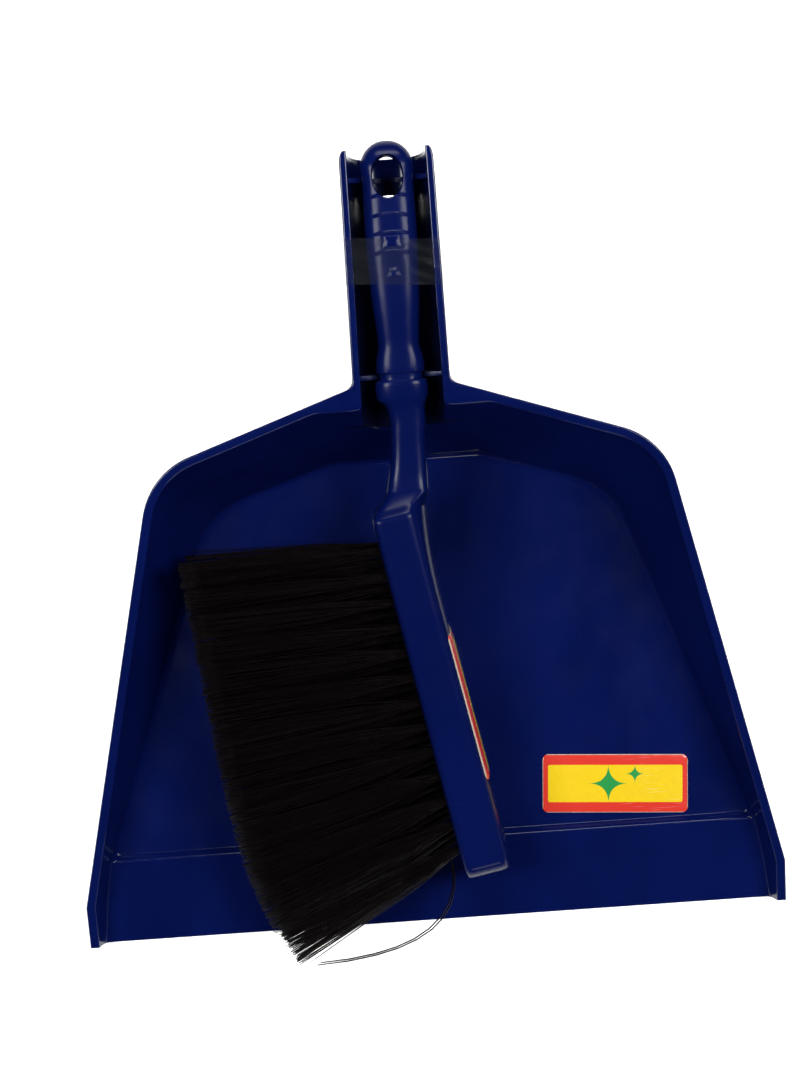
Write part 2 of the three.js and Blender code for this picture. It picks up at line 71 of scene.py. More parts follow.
PAN_LOW, PAN_HIGH = box_mm("dust_pan")


# ---- Mesh helpers ----

def vec(*values):
    return np.array(values, float)


def unit(v):
    return v / np.linalg.norm(v)


def lerp(a, b, t):
    return a + (b - a) * t


def smoothstep(low, high, value):
    t = np.clip((value - low) / (high - low), 0.0, 1.0)
    return t * t * (3.0 - 2.0 * t)


def bezier(a, control, b, steps):
    """Points of a rounded corner from a to b, both ends included."""
    ts = [k / steps for k in range(steps + 1)]
    return [(1 - t) ** 2 * a + 2 * t * (1 - t) * control + t * t * b for t in ts]


def mirror(p):
    return p * vec(-1, 1, 1)


WELD = 0.002


class Skin:
    """Faces gathered as coordinates in millimetres, and welded where they meet."""

    def __init__(self):
        self.points = []
        self.faces = []

    def face(self, corners):
        start = len(self.points)
        self.points.extend(corners)
        self.faces.append(range(start, start + len(corners)))

    def grid(self, rows):
        for low, high in zip(rows, rows[1:]):
            for k in range(len(low) - 1):
                self.face([low[k], low[k + 1], high[k + 1], high[k]])

    def mirrored_faces(self):
        for face in list(self.faces):
            self.face([mirror(self.points[i]) for i in reversed(face)])

    def loft(self, rings):
        """A closed solid skinned over rings with the same number of points."""
        self.grid([[*ring, ring[0]] for ring in rings])
        self.face(rings[0][::-1])
        self.face(rings[-1])

    def build(self, name):
        mesh = bpy.data.meshes.new(name)
        mesh.from_pydata([Vector(p) * MM for p in self.points], [], [list(f) for f in self.faces])
        bm = bmesh.new()
        bm.from_mesh(mesh)
        bmesh.ops.remove_doubles(bm, verts=bm.verts, dist=WELD * MM)
        bmesh.ops.dissolve_degenerate(bm, edges=bm.edges, dist=WELD * MM)
        bmesh.ops.triangulate(bm, faces=[f for f in bm.faces if len(f.verts) > 4])
        bmesh.ops.recalc_face_normals(bm, faces=bm.faces)
        bm.to_mesh(mesh)
        bm.free()
        return link(name, mesh)


def link(name, data):
    obj = bpy.data.objects.new(name, data)
    bpy.context.scene.collection.objects.link(obj)
    return obj


def closed_loft(name, rings):
    skin = Skin()
    skin.loft(rings)
    return skin.build(name)


def loft_faces(first, rings, count):
    """The faces of a closed loft whose points are numbered from first, ring by ring."""
    faces = [tuple(first + k for k in reversed(range(count)))]
    for low in range(first, first + (rings - 1) * count, count):
        for k in range(count):
            a, b = low + k, low + (k + 1) % count
            faces.append((a, b, b + count, a + count))
    last = first + (rings - 1) * count
    return [*faces, tuple(range(last, last + count))]


def cut(obj, cutter):
    """Takes the cutter's solid out of obj, and removes the cutter."""
    modifier = obj.modifiers.new("cut", "BOOLEAN")
    modifier.operation = "DIFFERENCE"
    modifier.solver = "EXACT"
    modifier.object = cutter
    apply_modifiers(obj)
    bpy.data.objects.remove(cutter)


def apply_modifiers(obj):
    depsgraph = bpy.context.evaluated_depsgraph_get()
    made = bpy.data.meshes.new_from_object(obj.evaluated_get(depsgraph))
    obj.modifiers.clear()
    old, obj.data = obj.data, made
    made.name = obj.name
    bpy.data.meshes.remove(old)


def store(mesh, name, values):
    """Gives each vertex a number that a material can read by name."""
    mesh.attributes.new(name, "FLOAT", "POINT").data.foreach_set("value", values)


def mark_edges(mesh):
    """Stores how sharply convex the mesh is at each vertex, which the materials read as wear."""
    bm = bmesh.new()
    bm.from_mesh(mesh)
    values = []
    for v in bm.verts:
        angles = [e.calc_face_angle_signed(0.0) for e in v.link_edges]
        values.append(min(1.0, max([0.0, *angles]) / 0.45))
    bm.free()
    store(mesh, "wear", values)


def mark_painted_shade(obj, is_inside):
    """Stores 1 at each vertex that is_inside() says is in a recess, which the material darkens there as
    painted shade.
    """
    store(obj.data, "painted_shade", [is_inside(vec(*v.co) / MM) for v in obj.data.vertices])


def finish_shape(obj, sharp_degrees=32):
    """Smooth shading with true creases, and normals that keep the flat faces flat."""
    mesh = obj.data
    mark_edges(mesh)
    mesh.shade_smooth()
    mesh.set_sharp_from_angle(angle=radians(sharp_degrees))
    modifier = obj.modifiers.new("normals", "WEIGHTED_NORMAL")
    modifier.keep_sharp = True
    modifier.weight = 80


def dress(obj, material, body, slot, *nodes):
    """Gives a piece its material, its body, and the CAD nodes that it stands for. slot is not used."""
    obj.data.materials.clear()
    obj.data.materials.append(material)
    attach(obj, body)
    if nodes:
        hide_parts(*nodes)


# ---- Camera, light and floor ----

CAMERA_SHIFT = (-4.8, 8.25)
CAMERA_HEIGHT = 752.5
CAMERA_LENS = 77.85
CAMERA_TURN = -4.0
LIGHT_DISTANCE = 1.4


def make_camera():
    """Straight above the object, turned a little, with a lens that takes in the whole set."""
    data = bpy.data.cameras.new("camera")
    data.sensor_fit = "HORIZONTAL"
    data.sensor_width = 36.0
    data.lens = CAMERA_LENS
    camera = link("camera", data)
    middle = (PAN_LOW + PAN_HIGH) / 2
    place = Vector((middle.x + CAMERA_SHIFT[0], middle.y + CAMERA_SHIFT[1], CAMERA_HEIGHT))
    camera.location = place * MM
    camera.rotation_euler = (0, 0, radians(CAMERA_TURN))
    bpy.context.scene.camera = camera


def soft_box(name, azimuth, elevation, size, power):
    """An area light that faces the middle of the object from one side."""
    data = bpy.data.lights.new(name, "AREA")
    data.shape = "RECTANGLE"
    data.size, data.size_y = size
    data.energy = power
    light = link(name, data)
    turn, rise = radians(azimuth), radians(elevation)
    away = Vector((sin(turn) * cos(rise), cos(turn) * cos(rise), sin(rise)))
    light.location = away * LIGHT_DISTANCE
    light.rotation_mode = "QUATERNION"
    light.rotation_quaternion = away.to_track_quat("Z", "Y")


def make_floor():
    material = Nodes("studio_floor").finish((0.9, 0.9, 0.9, 1), 0.9, Specular_IOR_Level=0.1,
                                            Emission_Color=(1, 1, 1, 1), Emission_Strength=0.35)
    mesh = bpy.data.meshes.new("studio_floor")
    corners = [(-3, -3, 0), (3, -3, 0), (3, 3, 0), (-3, 3, 0)]
    mesh.from_pydata(corners, [], [(0, 1, 2, 3)])
    floor = link("studio_floor", mesh)
    floor.location.z = CAD_BOX[0].z - 0.2 * MM
    mesh.materials.append(material)


def make_world():
    world = bpy.data.worlds.new("studio")
    world.use_nodes = True
    background = world.node_tree.nodes["Background"]
    background.inputs["Color"].default_value = (0.9, 0.95, 1.0, 1)
    background.inputs["Strength"].default_value = 0.02
    bpy.context.scene.world = world
    bpy.context.scene.view_settings.view_transform = "Standard"


def make_studio():
    make_camera()
    make_world()
    make_floor()
    soft_box("left_light", -84, 59, (0.3, 0.6), 15.5)
    soft_box("right_light", 79, 59, (0.3, 0.6), 15.5)
    soft_box("back_light", 5, 38, (0.7, 0.25), 9)
    soft_box("front_light", 170, 32, (0.5, 0.2), 3)


# ---- The dust pan ----

WALL = 2.0
WALL_ON_PLAN = 2.1
LIP_HALF = PAN_HIGH.x
LIP_Y = PAN_LOW.y
HANDLE_END_Y = PAN_HIGH.y
END_ROUNDING = 0.12

RIM_SLOPE = 0.2108
HANDLE_SLOPE = 0.1405
BACK_WALL_Y = 58.7
BACK_HEIGHT = 57.0
ROOT_Y = 68.0
RIM_WIDTH = 3.7
RIM_THICKNESS = 2.0
HEM = 5.0
HEM_WALL = 1.3
HEM_ROUNDING = 0.5
LIP_CORNER_Y = -142.0
RIDGE_START_Y = -126.0
SHOULDER = vec(104.6, 39.4)
SHOULDER_RADIUS = 32.0
BACK_RADIUS = 15.0

FLOOR_LIP_HALF = 144.5
FLOOR_RIDGE_HALF = 139.0
FLOOR_SHOULDER = vec(87.7, 22.6)
FLOOR_SHOULDER_RADIUS = 36.0
FLOOR_BACK = vec(32.0, 40.5)
LIP_THICKNESS = 1.5
CREST = vec(-124.6, 5.0)
STEP_Y = -122.2
RAMP_SKIN = 2.3

HANDLE_ROOT_HALF = 19.6
HANDLE_END_HALF = 18.7
FLANGE = 3.1
FLANGE_THICKNESS = 2.2
FLANGE_HEM = 2.5
GROOVE = 0.06
CHANNEL_DEPTH = 21.0
CHANNEL_ROUNDNESS = 3.0
END_CORNER = 5.0
END_WALL = 1.1
END_FLANGE = 1.3

TOP_ROUNDING = 0.7
OUTER_ROUNDING = 0.8
FOOT_FILLET = 2.4
NOTCH_FILLET = 2.2
ROOT_FILLET = 3.5
ROUND_STEPS = 4
NOTCH_STEPS = 6
SECTION_STEPS = 22
WALL_SHARES = (0, 0.04, 0.35, 0.7, 0.96, 1)
# Where the painted shade deep in the channel fades out along Y, towards the handle's end.
PAINTED_SHADE_END = (138, 150)


def top_height(y):
    """The height of the rim, whose slope eases off at the root of the handle."""
    ease = 6.0
    low = BACK_HEIGHT - (BACK_WALL_Y - y) * RIM_SLOPE
    past = float(np.clip(y - (ROOT_Y - ease), 0.0, 2 * ease))
    beyond = max(0.0, y - ROOT_Y - ease)
    return low - (RIM_SLOPE - HANDLE_SLOPE) * (past * past / (4 * ease) + beyond)


def ramp_height(y):
    """The top of the floor, with the ramp and its ridge, whose crest is rounded over a short width."""
    def sharp(at):
        if at < CREST[0]:
            return lerp(LIP_THICKNESS, CREST[1], (at - LIP_Y) / (CREST[0] - LIP_Y))
        return lerp(CREST[1], WALL, float(np.clip((at - CREST[0]) / (STEP_Y - CREST[0]), 0, 1)))
    width = 0.5
    return sum(sharp(y + width * k / 4) for k in range(-4, 5)) / 9


def arc_points(before, corner, after, radius, steps):
    """A corner of an outline, rounded to a radius, as points from its start to its end."""
    back, on = unit(before - corner), unit(after - corner)
    half = acos(float(back @ on)) / 2
    reach = radius / tan(half)
    centre = corner + unit(back + on) * radius / sin(half)
    start, end = corner + back * reach - centre, corner + on * reach - centre
    turn = atan2(start[0] * end[1] - start[1] * end[0], float(start @ end))
    points = []
    for k in range(steps + 1):
        c, s = cos(turn * k / steps), sin(turn * k / steps)
        points.append(centre + vec(c * start[0] - s * start[1], s * start[0] + c * start[1]))
    return points


def run(a, b, steps):
    """Points from a towards b, without b."""
    return [lerp(a, b, k / steps) for k in range(steps)]


def at_y(a, b, y):
    return lerp(a, b, (y - a[1]) / (b[1] - a[1]))


def tray_line(lip, corner, ridge, shoulder, rear, end):
    """A line round half of the tray on plan. shoulder and rear are the points of its two corners."""
    close = [at_y(ridge, shoulder[0], RIDGE_START_Y + 0.3 + 0.35 * k) for k in range(14)]
    points = [*run(lip, corner, 8), *run(corner, ridge, 8), ridge, *close]
    points += [*run(lerp(ridge, shoulder[0], 0.06), shoulder[0], 26), *shoulder[:-1]]
    return [*points, *run(shoulder[-1], rear[0], 12), *rear[:-1], *run(rear[-1], end, 6), end]


RAMP_STATIONS = 8 + 8 + 1 + 14
BACK_START = RAMP_STATIONS + 26 + 22 + 12 + 8


def rim_lines():
    """The rim's outer and inner lines round half of the tray."""
    first = LIP_Y + END_ROUNDING
    lip_corner, root = vec(LIP_HALF, LIP_CORNER_Y), vec(HANDLE_ROOT_HALF, ROOT_Y)
    ridge = at_y(lip_corner, SHOULDER, RIDGE_START_Y)
    side, slant = unit(SHOULDER - lip_corner), unit(root - SHOULDER)
    side_in, slant_in = vec(-side[1], side[0]), vec(-slant[1], slant[0])
    both = (side_in + slant_in) / (1 + float(side_in @ slant_in))
    inner_corner = lip_corner + vec(-RIM_WIDTH / side[1], 0)
    inner_shoulder = SHOULDER + both * RIM_WIDTH
    inner_back = at_y(inner_shoulder, root + slant_in * RIM_WIDTH, BACK_WALL_Y)
    notch = notch_fillet(0)[0][:2]
    shoulder = arc_points(lip_corner, SHOULDER, root, SHOULDER_RADIUS, 22)
    inner_arc = arc_points(inner_corner, inner_shoulder, inner_back, SHOULDER_RADIUS - RIM_WIDTH, 22)
    rear = arc_points(inner_shoulder, inner_back, notch, BACK_RADIUS, 8)
    along = [SHOULDER + slant * float((p - SHOULDER) @ slant) for p in (rear[0], rear[-1])]
    outer_rear = [lerp(*along, k / 8) for k in range(9)]
    end = root - slant * ROOT_FILLET
    outer = tray_line(vec(LIP_HALF, first), lip_corner, ridge, shoulder, outer_rear, end)
    inner_lip = vec(inner_corner[0], first)
    inner_ridge = at_y(inner_corner, inner_arc[0], RIDGE_START_Y)
    return outer, tray_line(inner_lip, inner_corner, inner_ridge, inner_arc, rear, notch)


def foot_line():
    """The foot of the wall round half of the floor."""
    lip, ridge = vec(FLOOR_LIP_HALF, LIP_Y), vec(FLOOR_RIDGE_HALF, RIDGE_START_Y)
    middle = vec(0, FLOOR_BACK[1])
    shoulder = arc_points(ridge, FLOOR_SHOULDER, FLOOR_BACK, FLOOR_SHOULDER_RADIUS, 22)
    rear = arc_points(FLOOR_SHOULDER, FLOOR_BACK, middle, BACK_RADIUS, 8)
    first = at_y(lip, ridge, LIP_Y + END_ROUNDING)
    return tray_line(first, at_y(lip, ridge, LIP_CORNER_Y), ridge, shoulder, rear, middle)


def outward_normals(line):
    ends = [line[0], *line, line[-1]]
    normals = []
    for before, after in zip(ends, ends[2:]):
        t = unit(after - before)
        normals.append(vec(t[1], -t[0], 0))
    return [vec(1, 0, 0), *normals[1:]]


# The back wall is flat where the channel opens into it.
BACK_RISE = unit(vec(0, BACK_WALL_Y - FLOOR_BACK[1], BACK_HEIGHT - WALL))
BACK_NORMAL = unit(np.cross(BACK_RISE, vec(1, 0, 0)))


def channel_half(y):
    along = (y - ROOT_Y) / (HANDLE_END_Y - ROOT_Y)
    return lerp(HANDLE_ROOT_HALF, HANDLE_END_HALF, along) - FLANGE


def channel_point(k, y, extra):
    """A point of the channel's U section, from its upper edge to the middle of its bottom."""
    first = FLANGE_THICKNESS if extra else TOP_ROUNDING
    depth = CHANNEL_DEPTH + extra
    start = asin((first / depth) ** (CHANNEL_ROUNDNESS / 2))
    angle = lerp(start, pi / 2, k / SECTION_STEPS)
    power = 2 / CHANNEL_ROUNDNESS
    x = (channel_half(y) + extra) * max(0.0, cos(angle)) ** power
    return vec(x if k < SECTION_STEPS else 0, y, top_height(y) - depth * sin(angle) ** power)


def notch_y(k, extra):
    """How far forward a line of the channel reaches before it meets the back wall."""
    slope = BACK_RISE[1] / BACK_RISE[2]
    back = FLOOR_BACK[1] + (WALL_ON_PLAN if extra else 0)
    y = BACK_WALL_Y
    for _ in range(12):
        y = back + (channel_point(k, y, extra)[2] - WALL) * slope
    return y


def notch_fillet(k, extra=0):
    """The rounded edge between the back wall and the channel, from the wall to the channel."""
    def on_edge(k):
        return channel_point(k, notch_y(k, extra), extra)
    corner = on_edge(k)
    along = on_edge(min(k + 1, SECTION_STEPS)) - on_edge(max(k - 1, 0))
    out = unit(np.cross(along, BACK_NORMAL))
    if k == 0:
        out = vec(1, 0, 0)
    if k == SECTION_STEPS:
        out = -BACK_RISE
    on_wall = corner + out * NOTCH_FILLET
    on_channel = channel_point(k, corner[1] + NOTCH_FILLET, extra)
    return bezier(on_wall, corner, on_channel, NOTCH_STEPS)


class Tray:
    """The matched lines round half of the tray, and the points of its sections."""

    def __init__(self):
        self.outer, self.inner = rim_lines()
        self.foot = foot_line()
        self.outer_normals = outward_normals(self.outer)
        self.inner_normals = outward_normals(self.inner)
        self.foot_normals = outward_normals(self.foot)
        self.count = len(self.inner)

    def rim_top(self, line, i):
        return vec(*line[i], top_height(line[i][1]))

    def wall_line(self, i):
        """The wall's lower and upper ends. Past the back corner they are upright on the flat back wall."""
        foot = vec(*self.foot[i], WALL)
        if i > BACK_START:
            return foot, foot + BACK_RISE * (BACK_HEIGHT - WALL) / BACK_RISE[2]
        return foot, self.rim_top(self.inner, i)

    def wall(self, i, t, extra=0):
        foot, top = self.wall_line(i)
        top_normals = self.inner_normals if i <= BACK_START else self.foot_normals
        return lerp(foot, top, t) + lerp(self.foot_normals[i], top_normals[i], t) * extra

    def foot_share(self, i):
        """How far up its line the wall leaves the floor, which differs from zero along the ramp."""
        foot, top = self.wall_line(i)
        t = 0.0
        for _ in range(4):
            t = (ramp_height(lerp(foot[1], top[1], t)) - WALL) / (top[2] - WALL)
        return t

    def foot_fillet(self, i):
        """From the floor to the wall."""
        foot, top = self.wall_line(i)
        t = self.foot_share(i)
        corner = lerp(foot, top, t)
        on_floor = corner - self.foot_normals[i] * FOOT_FILLET
        on_floor[2] = ramp_height(on_floor[1])
        return bezier(on_floor, corner, corner + unit(top - foot) * FOOT_FILLET, ROUND_STEPS)

    def wall_rows(self, i):
        """From the foot fillet up to the rim's inner rounding."""
        foot, top = self.wall_line(i)
        low = self.foot_fillet(i)[-1]
        high = top - unit(top - foot) * TOP_ROUNDING
        return [lerp(low, high, t) for t in WALL_SHARES]

    def outer_wall_rows(self, i):
        """From under the rim down to the bottom's rounding."""
        foot, top = self.wall_line(i)
        high = 1 - RIM_THICKNESS / (top[2] - WALL)
        low = (1.0 - WALL) / (top[2] - WALL)
        return [self.wall(i, lerp(high, low, t), WALL_ON_PLAN) for t in WALL_SHARES]

    def bottom_rounding(self, i):
        foot = self.wall(i, 0, WALL_ON_PLAN)
        edge = vec(foot[0], foot[1], 0)
        return bezier(self.outer_wall_rows(i)[-1], edge, edge - self.foot_normals[i], ROUND_STEPS)


def rim_section(inside, top_in, top_out, normal, hem, hem_wall, thickness, under):
    """Over the rim, from its inner rounding to the underside where the wall begins."""
    across = unit(top_out - top_in)
    down = vec(0, 0, -1)
    points = bezier(inside, top_in, top_in + across * TOP_ROUNDING, ROUND_STEPS)
    points += bezier(top_out - normal * OUTER_ROUNDING, top_out, top_out + down * OUTER_ROUNDING, ROUND_STEPS)
    bottom = top_out + down * hem
    soft = min(HEM_ROUNDING, 0.6 * hem_wall)
    points += bezier(bottom - down * soft, bottom, bottom - normal * soft, 3)
    return [*points, bottom - normal * hem_wall, top_out + down * thickness - normal * hem_wall, under]


def hem_depth(y):
    """The hem fades into the flange of the handle round the root."""
    return lerp(HEM, FLANGE_HEM, float(smoothstep(ROOT_Y - 3, ROOT_Y + 8, y)))


def tray_rim_sections(tray):
    sections = []
    for i in range(tray.count - 1):
        top_in, top_out = tray.rim_top(tray.inner, i), tray.rim_top(tray.outer, i)
        inside = inner_rows(tray, i)[-1]
        under = outer_rows(tray, i)[0]
        sections.append(rim_section(inside, top_in, top_out, tray.outer_normals[i], hem_depth(top_out[1]),
                                    HEM_WALL, RIM_THICKNESS, under))
    return sections


def inner_rows(tray, i):
    """As wall_rows(), but always up to the rim, also where the channel cuts into the wall."""
    if i <= BACK_START:
        return tray.wall_rows(i)
    top = tray.rim_top(tray.inner, i)
    return [top - BACK_RISE * TOP_ROUNDING]


def outer_rows(tray, i):
    if i <= BACK_START:
        return tray.outer_wall_rows(i)
    top = tray.rim_top(tray.inner, i) + vec(0, WALL_ON_PLAN, 0)
    return [top - BACK_RISE * RIM_THICKNESS / BACK_RISE[2]]


def handle_shares():
    """Where the handle's sections stand, from the root to its end, close together round the end's corner."""
    return [*np.linspace(0, 0.94, 34), *np.linspace(0.945, 1, 12)]


def end_share(y):
    """From 0 to 1 round the handle's end corner, where its flange and its wall grow thin."""
    past = max(0.0, y - (HANDLE_END_Y - END_CORNER)) / END_CORNER
    return 1 - sqrt(max(0.0, 1 - past * past))


def handle_edge(y):
    return channel_half(y) + lerp(FLANGE, END_FLANGE, end_share(y))


def channel_rows(extra):
    """Rows along the channel from its notch in the back wall to its end, each across half of the U."""
    end = HANDLE_END_Y - END_ROUNDING
    starts = [notch_y(k, extra) + NOTCH_FILLET for k in range(SECTION_STEPS + 1)]
    rows = []
    for f in handle_shares():
        ys = [lerp(start, end, f) for start in starts]
        walls = [extra and lerp(extra, END_WALL, end_share(y)) for y in ys]
        rows.append([channel_point(k, ys[k], walls[k]) for k in range(SECTION_STEPS + 1)])
    return rows


def handle_rim_sections(inner, outer):
    """The root's fillet, and the handle's flange, in step with the channel's rows."""
    slant = unit(vec(HANDLE_ROOT_HALF, ROOT_Y) - SHOULDER)
    root = vec(HANDLE_ROOT_HALF, ROOT_Y)
    notch, notch_out = notch_fillet(0), notch_fillet(0, WALL)
    corner = bezier(root - slant * ROOT_FILLET, root, root + vec(0, ROOT_FILLET), NOTCH_STEPS)
    sections = []
    for j, plan in enumerate(corner):
        along = unit(corner[min(j + 1, NOTCH_STEPS)] - corner[max(j - 1, 0)])
        normal = vec(along[1], -along[0], 0)
        rise = lerp(BACK_RISE, vec(0, 0, 1), j / NOTCH_STEPS)
        top_in = notch[j] + rise * TOP_ROUNDING
        top_in[2] = top_height(top_in[1])
        top_out = vec(*plan, top_height(plan[1]))
        sections.append(rim_section(notch[j], top_in, top_out, normal, hem_depth(plan[1]),
                                    lerp(HEM_WALL, FLANGE - WALL - GROOVE, j / NOTCH_STEPS),
                                    RIM_THICKNESS, notch_out[j]))
    end = HANDLE_END_Y - END_ROUNDING
    start = ROOT_Y + ROOT_FILLET
    for f, low, high in list(zip(handle_shares(), inner, outer))[1:]:
        y = lerp(start, end, f)
        top_in = low[0] + vec(0, 0, TOP_ROUNDING)
        top_out = vec(handle_edge(y), y, top_height(y))
        ahead = handle_edge(y + 0.1) - handle_edge(y - 0.1)
        normal = unit(vec(0.2, -ahead, 0))
        sections.append(rim_section(low[0], top_in, top_out, normal, hem_depth(y),
                                    top_out[0] - high[0][0] - GROOVE, FLANGE_THICKNESS, high[0]))
    return sections


def rounded_edge(skin, ring, forward):
    """Rounds the edge of a flat end across Y and returns its last ring. forward is 1 or -1 along Y."""
    flat = [vec(p[0], p[2]) for p in ring]
    area = sum(a[0] * b[1] - a[1] * b[0] for a, b in zip(flat, [*flat[1:], flat[0]]))
    inward = 1 if area > 0 else -1
    normals = []
    for before, here, after in zip([flat[-1], *flat], flat, [*flat[1:], flat[0]]):
        a, b = unit(here - before), unit(after - here)
        n = inward * (vec(-a[1], a[0]) + vec(-b[1], b[0]))
        normals.append(n / max(0.6, float(n @ n) / 2))
    rings = [ring]
    for degrees in (30, 60, 90):
        angle = radians(degrees)
        shift = END_ROUNDING * (1 - cos(angle))
        y = ring[0][1] + forward * END_ROUNDING * sin(angle)
        rings.append([vec(p[0] + n[0] * shift, y, p[1] + n[1] * shift) for p, n in zip(flat, normals)])
    skin.grid([[*r, r[0]] for r in rings])
    return rings[-1]


def close_channel(skin, ring):
    """Fills the end of the U: strips between its inner and outer lines, and a face in each flange."""
    count, outer = len(ring), len(ring) // 2
    steps = range(SECTION_STEPS + 1)
    for side in (1, -1):
        skin.grid([[ring[(side * k) % count] for k in steps], [ring[outer - side * k] for k in steps]])
    skin.face(ring[SECTION_STEPS:outer - SECTION_STEPS + 1])
    skin.face(ring[outer + SECTION_STEPS:count - SECTION_STEPS + 1])


def tray_skin(skin, tray):
    """Walls, their foot fillets, and the flat back wall with the channel's notch in it."""
    columns = range(BACK_START + 1)
    skin.grid([tray.wall_rows(i) for i in columns])
    skin.grid([tray.outer_wall_rows(i) for i in columns])
    skin.grid([tray.foot_fillet(i) for i in range(tray.count)])
    skin.grid([tray.bottom_rounding(i) for i in range(tray.count)])


def back_wall(skin, tray, extra):
    rows = outer_rows if extra else inner_rows
    last = range(BACK_START, tray.count - 1)
    top = [rows(tray, i)[0 if extra else -1] for i in last]
    notch = [notch_fillet(k, extra)[0] for k in range(SECTION_STEPS + 1)]
    back = range(BACK_START, tray.count)
    foot = [tray.bottom_rounding(i)[0] if extra else tray.foot_fillet(i)[-1] for i in back]
    column = tray.outer_wall_rows(BACK_START) if extra else tray.wall_rows(BACK_START)[::-1]
    half = [*foot[::-1], *column[::-1][1:-1], *top, *notch]
    other = [mirror(p) for p in half]
    skin.face([*half, *other[::-1][1:-1]])


def underside_row(tray, i):
    """Under the ramp, from the wall inwards: a flat strip, and the hollow that keeps the ramp thin."""
    start = tray.bottom_rounding(i)[-1]
    edge, hollow = start - vec(6, 0, 0), start - vec(7.5, 0, 0)
    room = float(smoothstep(LIP_Y + 3, LIP_Y + 9, hollow[1]))
    hollow[2] = room * max(0.0, ramp_height(hollow[1] + WALL) - RAMP_SKIN)
    return [start, edge, hollow]


def floor_skin(skin, tray):
    """The floor and the underside: strips across the ramp, and one flat face behind it."""
    inside = [tray.foot_fillet(i)[0] for i in range(tray.count)]
    under = [underside_row(tray, i) for i in range(RAMP_STATIONS + 1)]
    skin.grid([[p, mirror(p)] for p in inside[:RAMP_STATIONS + 1]])
    skin.grid([[*row, *[mirror(p) for p in row[::-1]]] for row in under])
    rest = inside[RAMP_STATIONS:]
    skin.face([*rest, *[mirror(p) for p in rest[-2::-1]]])
    rest = [*under[-1][:0:-1], *[tray.bottom_rounding(i)[-1] for i in range(RAMP_STATIONS, tray.count)]]
    skin.face([*rest, *[mirror(p) for p in rest[-2::-1]]])


def pan_shape():
    tray = Tray()
    inner, outer = channel_rows(0), channel_rows(WALL)
    sections = [*tray_rim_sections(tray), *handle_rim_sections(inner, outer)]
    skin = Skin()
    skin.grid(sections)
    tray_skin(skin, tray)
    for rows, extra in ((inner, 0), (outer, WALL)):
        skin.grid([notch_fillet(k, extra) for k in range(SECTION_STEPS + 1)])
        skin.grid(rows)
    skin.mirrored_faces()
    for extra in (0, WALL):
        back_wall(skin, tray, extra)
    floor_skin(skin, tray)
    lip = [tray.foot_fillet(0), tray.wall_rows(0)[1:], sections[0][1:], tray.outer_wall_rows(0)[1:],
           tray.bottom_rounding(0)[1:], underside_row(tray, 0)[1:]]
    half = [p for part in lip for p in part]
    skin.face(rounded_edge(skin, [*half, *[mirror(p) for p in half[::-1]]], -1))
    half = [*inner[-1][::-1], *sections[-1][1:], *outer[-1][1:]]
    close_channel(skin, rounded_edge(skin, [*half, *[mirror(p) for p in half[-2:0:-1]]], 1))
    return skin.build("pan")


def make_pan():
    pan = pan_shape()
    y = PAN_HOLE["y"]
    middle = vec(0, y, top_height(y) - CHANNEL_DEPTH - WALL / 2)
    cut(pan, oval_cutter("hole", middle, PAN_HOLE["half_width"], PAN_HOLE["half_length"], 1.6, 0.7))
    return pan


def channel_painted_shade(p):
    """Painted shade: 1 deep in the channel and 0 on the rest of the pan, fading out near the rim and towards
    the handle's end.
    """
    if p[1] < BACK_WALL_Y - 6 or abs(p[0]) > channel_half(p[1]) + 0.3:
        return 0.0
    return float(smoothstep(1.0, 4.0, top_height(p[1]) - p[2]) * (1 - smoothstep(*PAINTED_SHADE_END, p[1])))


# Cross ribs in the channel, square to the brush's handle, with a round seat for it.
CRADLE_YS = (72.0, 149.8)
CRADLE_SEATS = (9.4, 10.9)
CRADLE_THICKNESS = 2.0
CRADLE_BELOW = 4.0
SEAT_DEPTH = 9.4
SEAT_ROUNDNESS = 3.2
HOOK_SLOT_HALF = 6.5
PAN_HOLE = {"y": 141.5, "half_width": 5.0, "half_length": 6.0}
BRUSH_TIP = vec(0, 164.5, 64.9)


def brush_axis_height(y):
    return BRUSH_TIP[2] - (BRUSH_TIP[1] - y) * HANDLE_SLOPE


def cradle_outline(y, seat, shrink):
    """One face of a rib: down the channel's side and along its bottom, then back over the seat."""
    points = []
    for k in range(SECTION_STEPS + 1):
        p = channel_point(k, y, WALL / 2)
        if top_height(y) - p[2] > CRADLE_BELOW:
            points.append(p)
    top = top_height(y) - CRADLE_BELOW - shrink
    edge = vec(channel_half(y) + WALL / 2 - shrink, y, top)
    middle = brush_axis_height(y)
    power = 2 / SEAT_ROUNDNESS
    room = []
    for k in range(15):
        angle = pi / 2 * k / 14
        x = (seat + shrink) * cos(angle) ** power if k < 14 else 0
        z = middle - (SEAT_DEPTH + shrink) * sin(angle) ** power
        room.append(vec(x, y, min(z, top)))
    half = [*room[::-1], edge, *points]
    return [*half, *[mirror(p) for p in half[-2:0:-1]]]


def cradle(index):
    """The rear cradle has a slot, which keeps the way through the hanging holes clear."""
    y, seat = CRADLE_YS[index], CRADLE_SEATS[index]
    middle = brush_axis_height(y)
    rings = []
    for side, shrink in ((-0.5, 0.3), (-0.35, 0), (0.35, 0), (0.5, 0.3)):
        ring = cradle_outline(y + side * CRADLE_THICKNESS, seat, shrink)
        rings.append([p - vec(0, (p[2] - middle) * HANDLE_SLOPE, 0) for p in ring])
    rib = closed_loft(f"pan_cradle_{index + 1}", rings)
    if index == 1:
        low = top_height(y) - CHANNEL_DEPTH + 1
        corners = [vec(x, 0, z) for x, z in ((-1, 0), (1, 0), (1, 1), (-1, 1))]
        slot = [[c * vec(HOOK_SLOT_HALF, 0, CHANNEL_DEPTH) + vec(0, y + side, low) for c in corners]
                for side in (-6, 6)]
        cut(rib, closed_loft("slot", slot))
    return rib


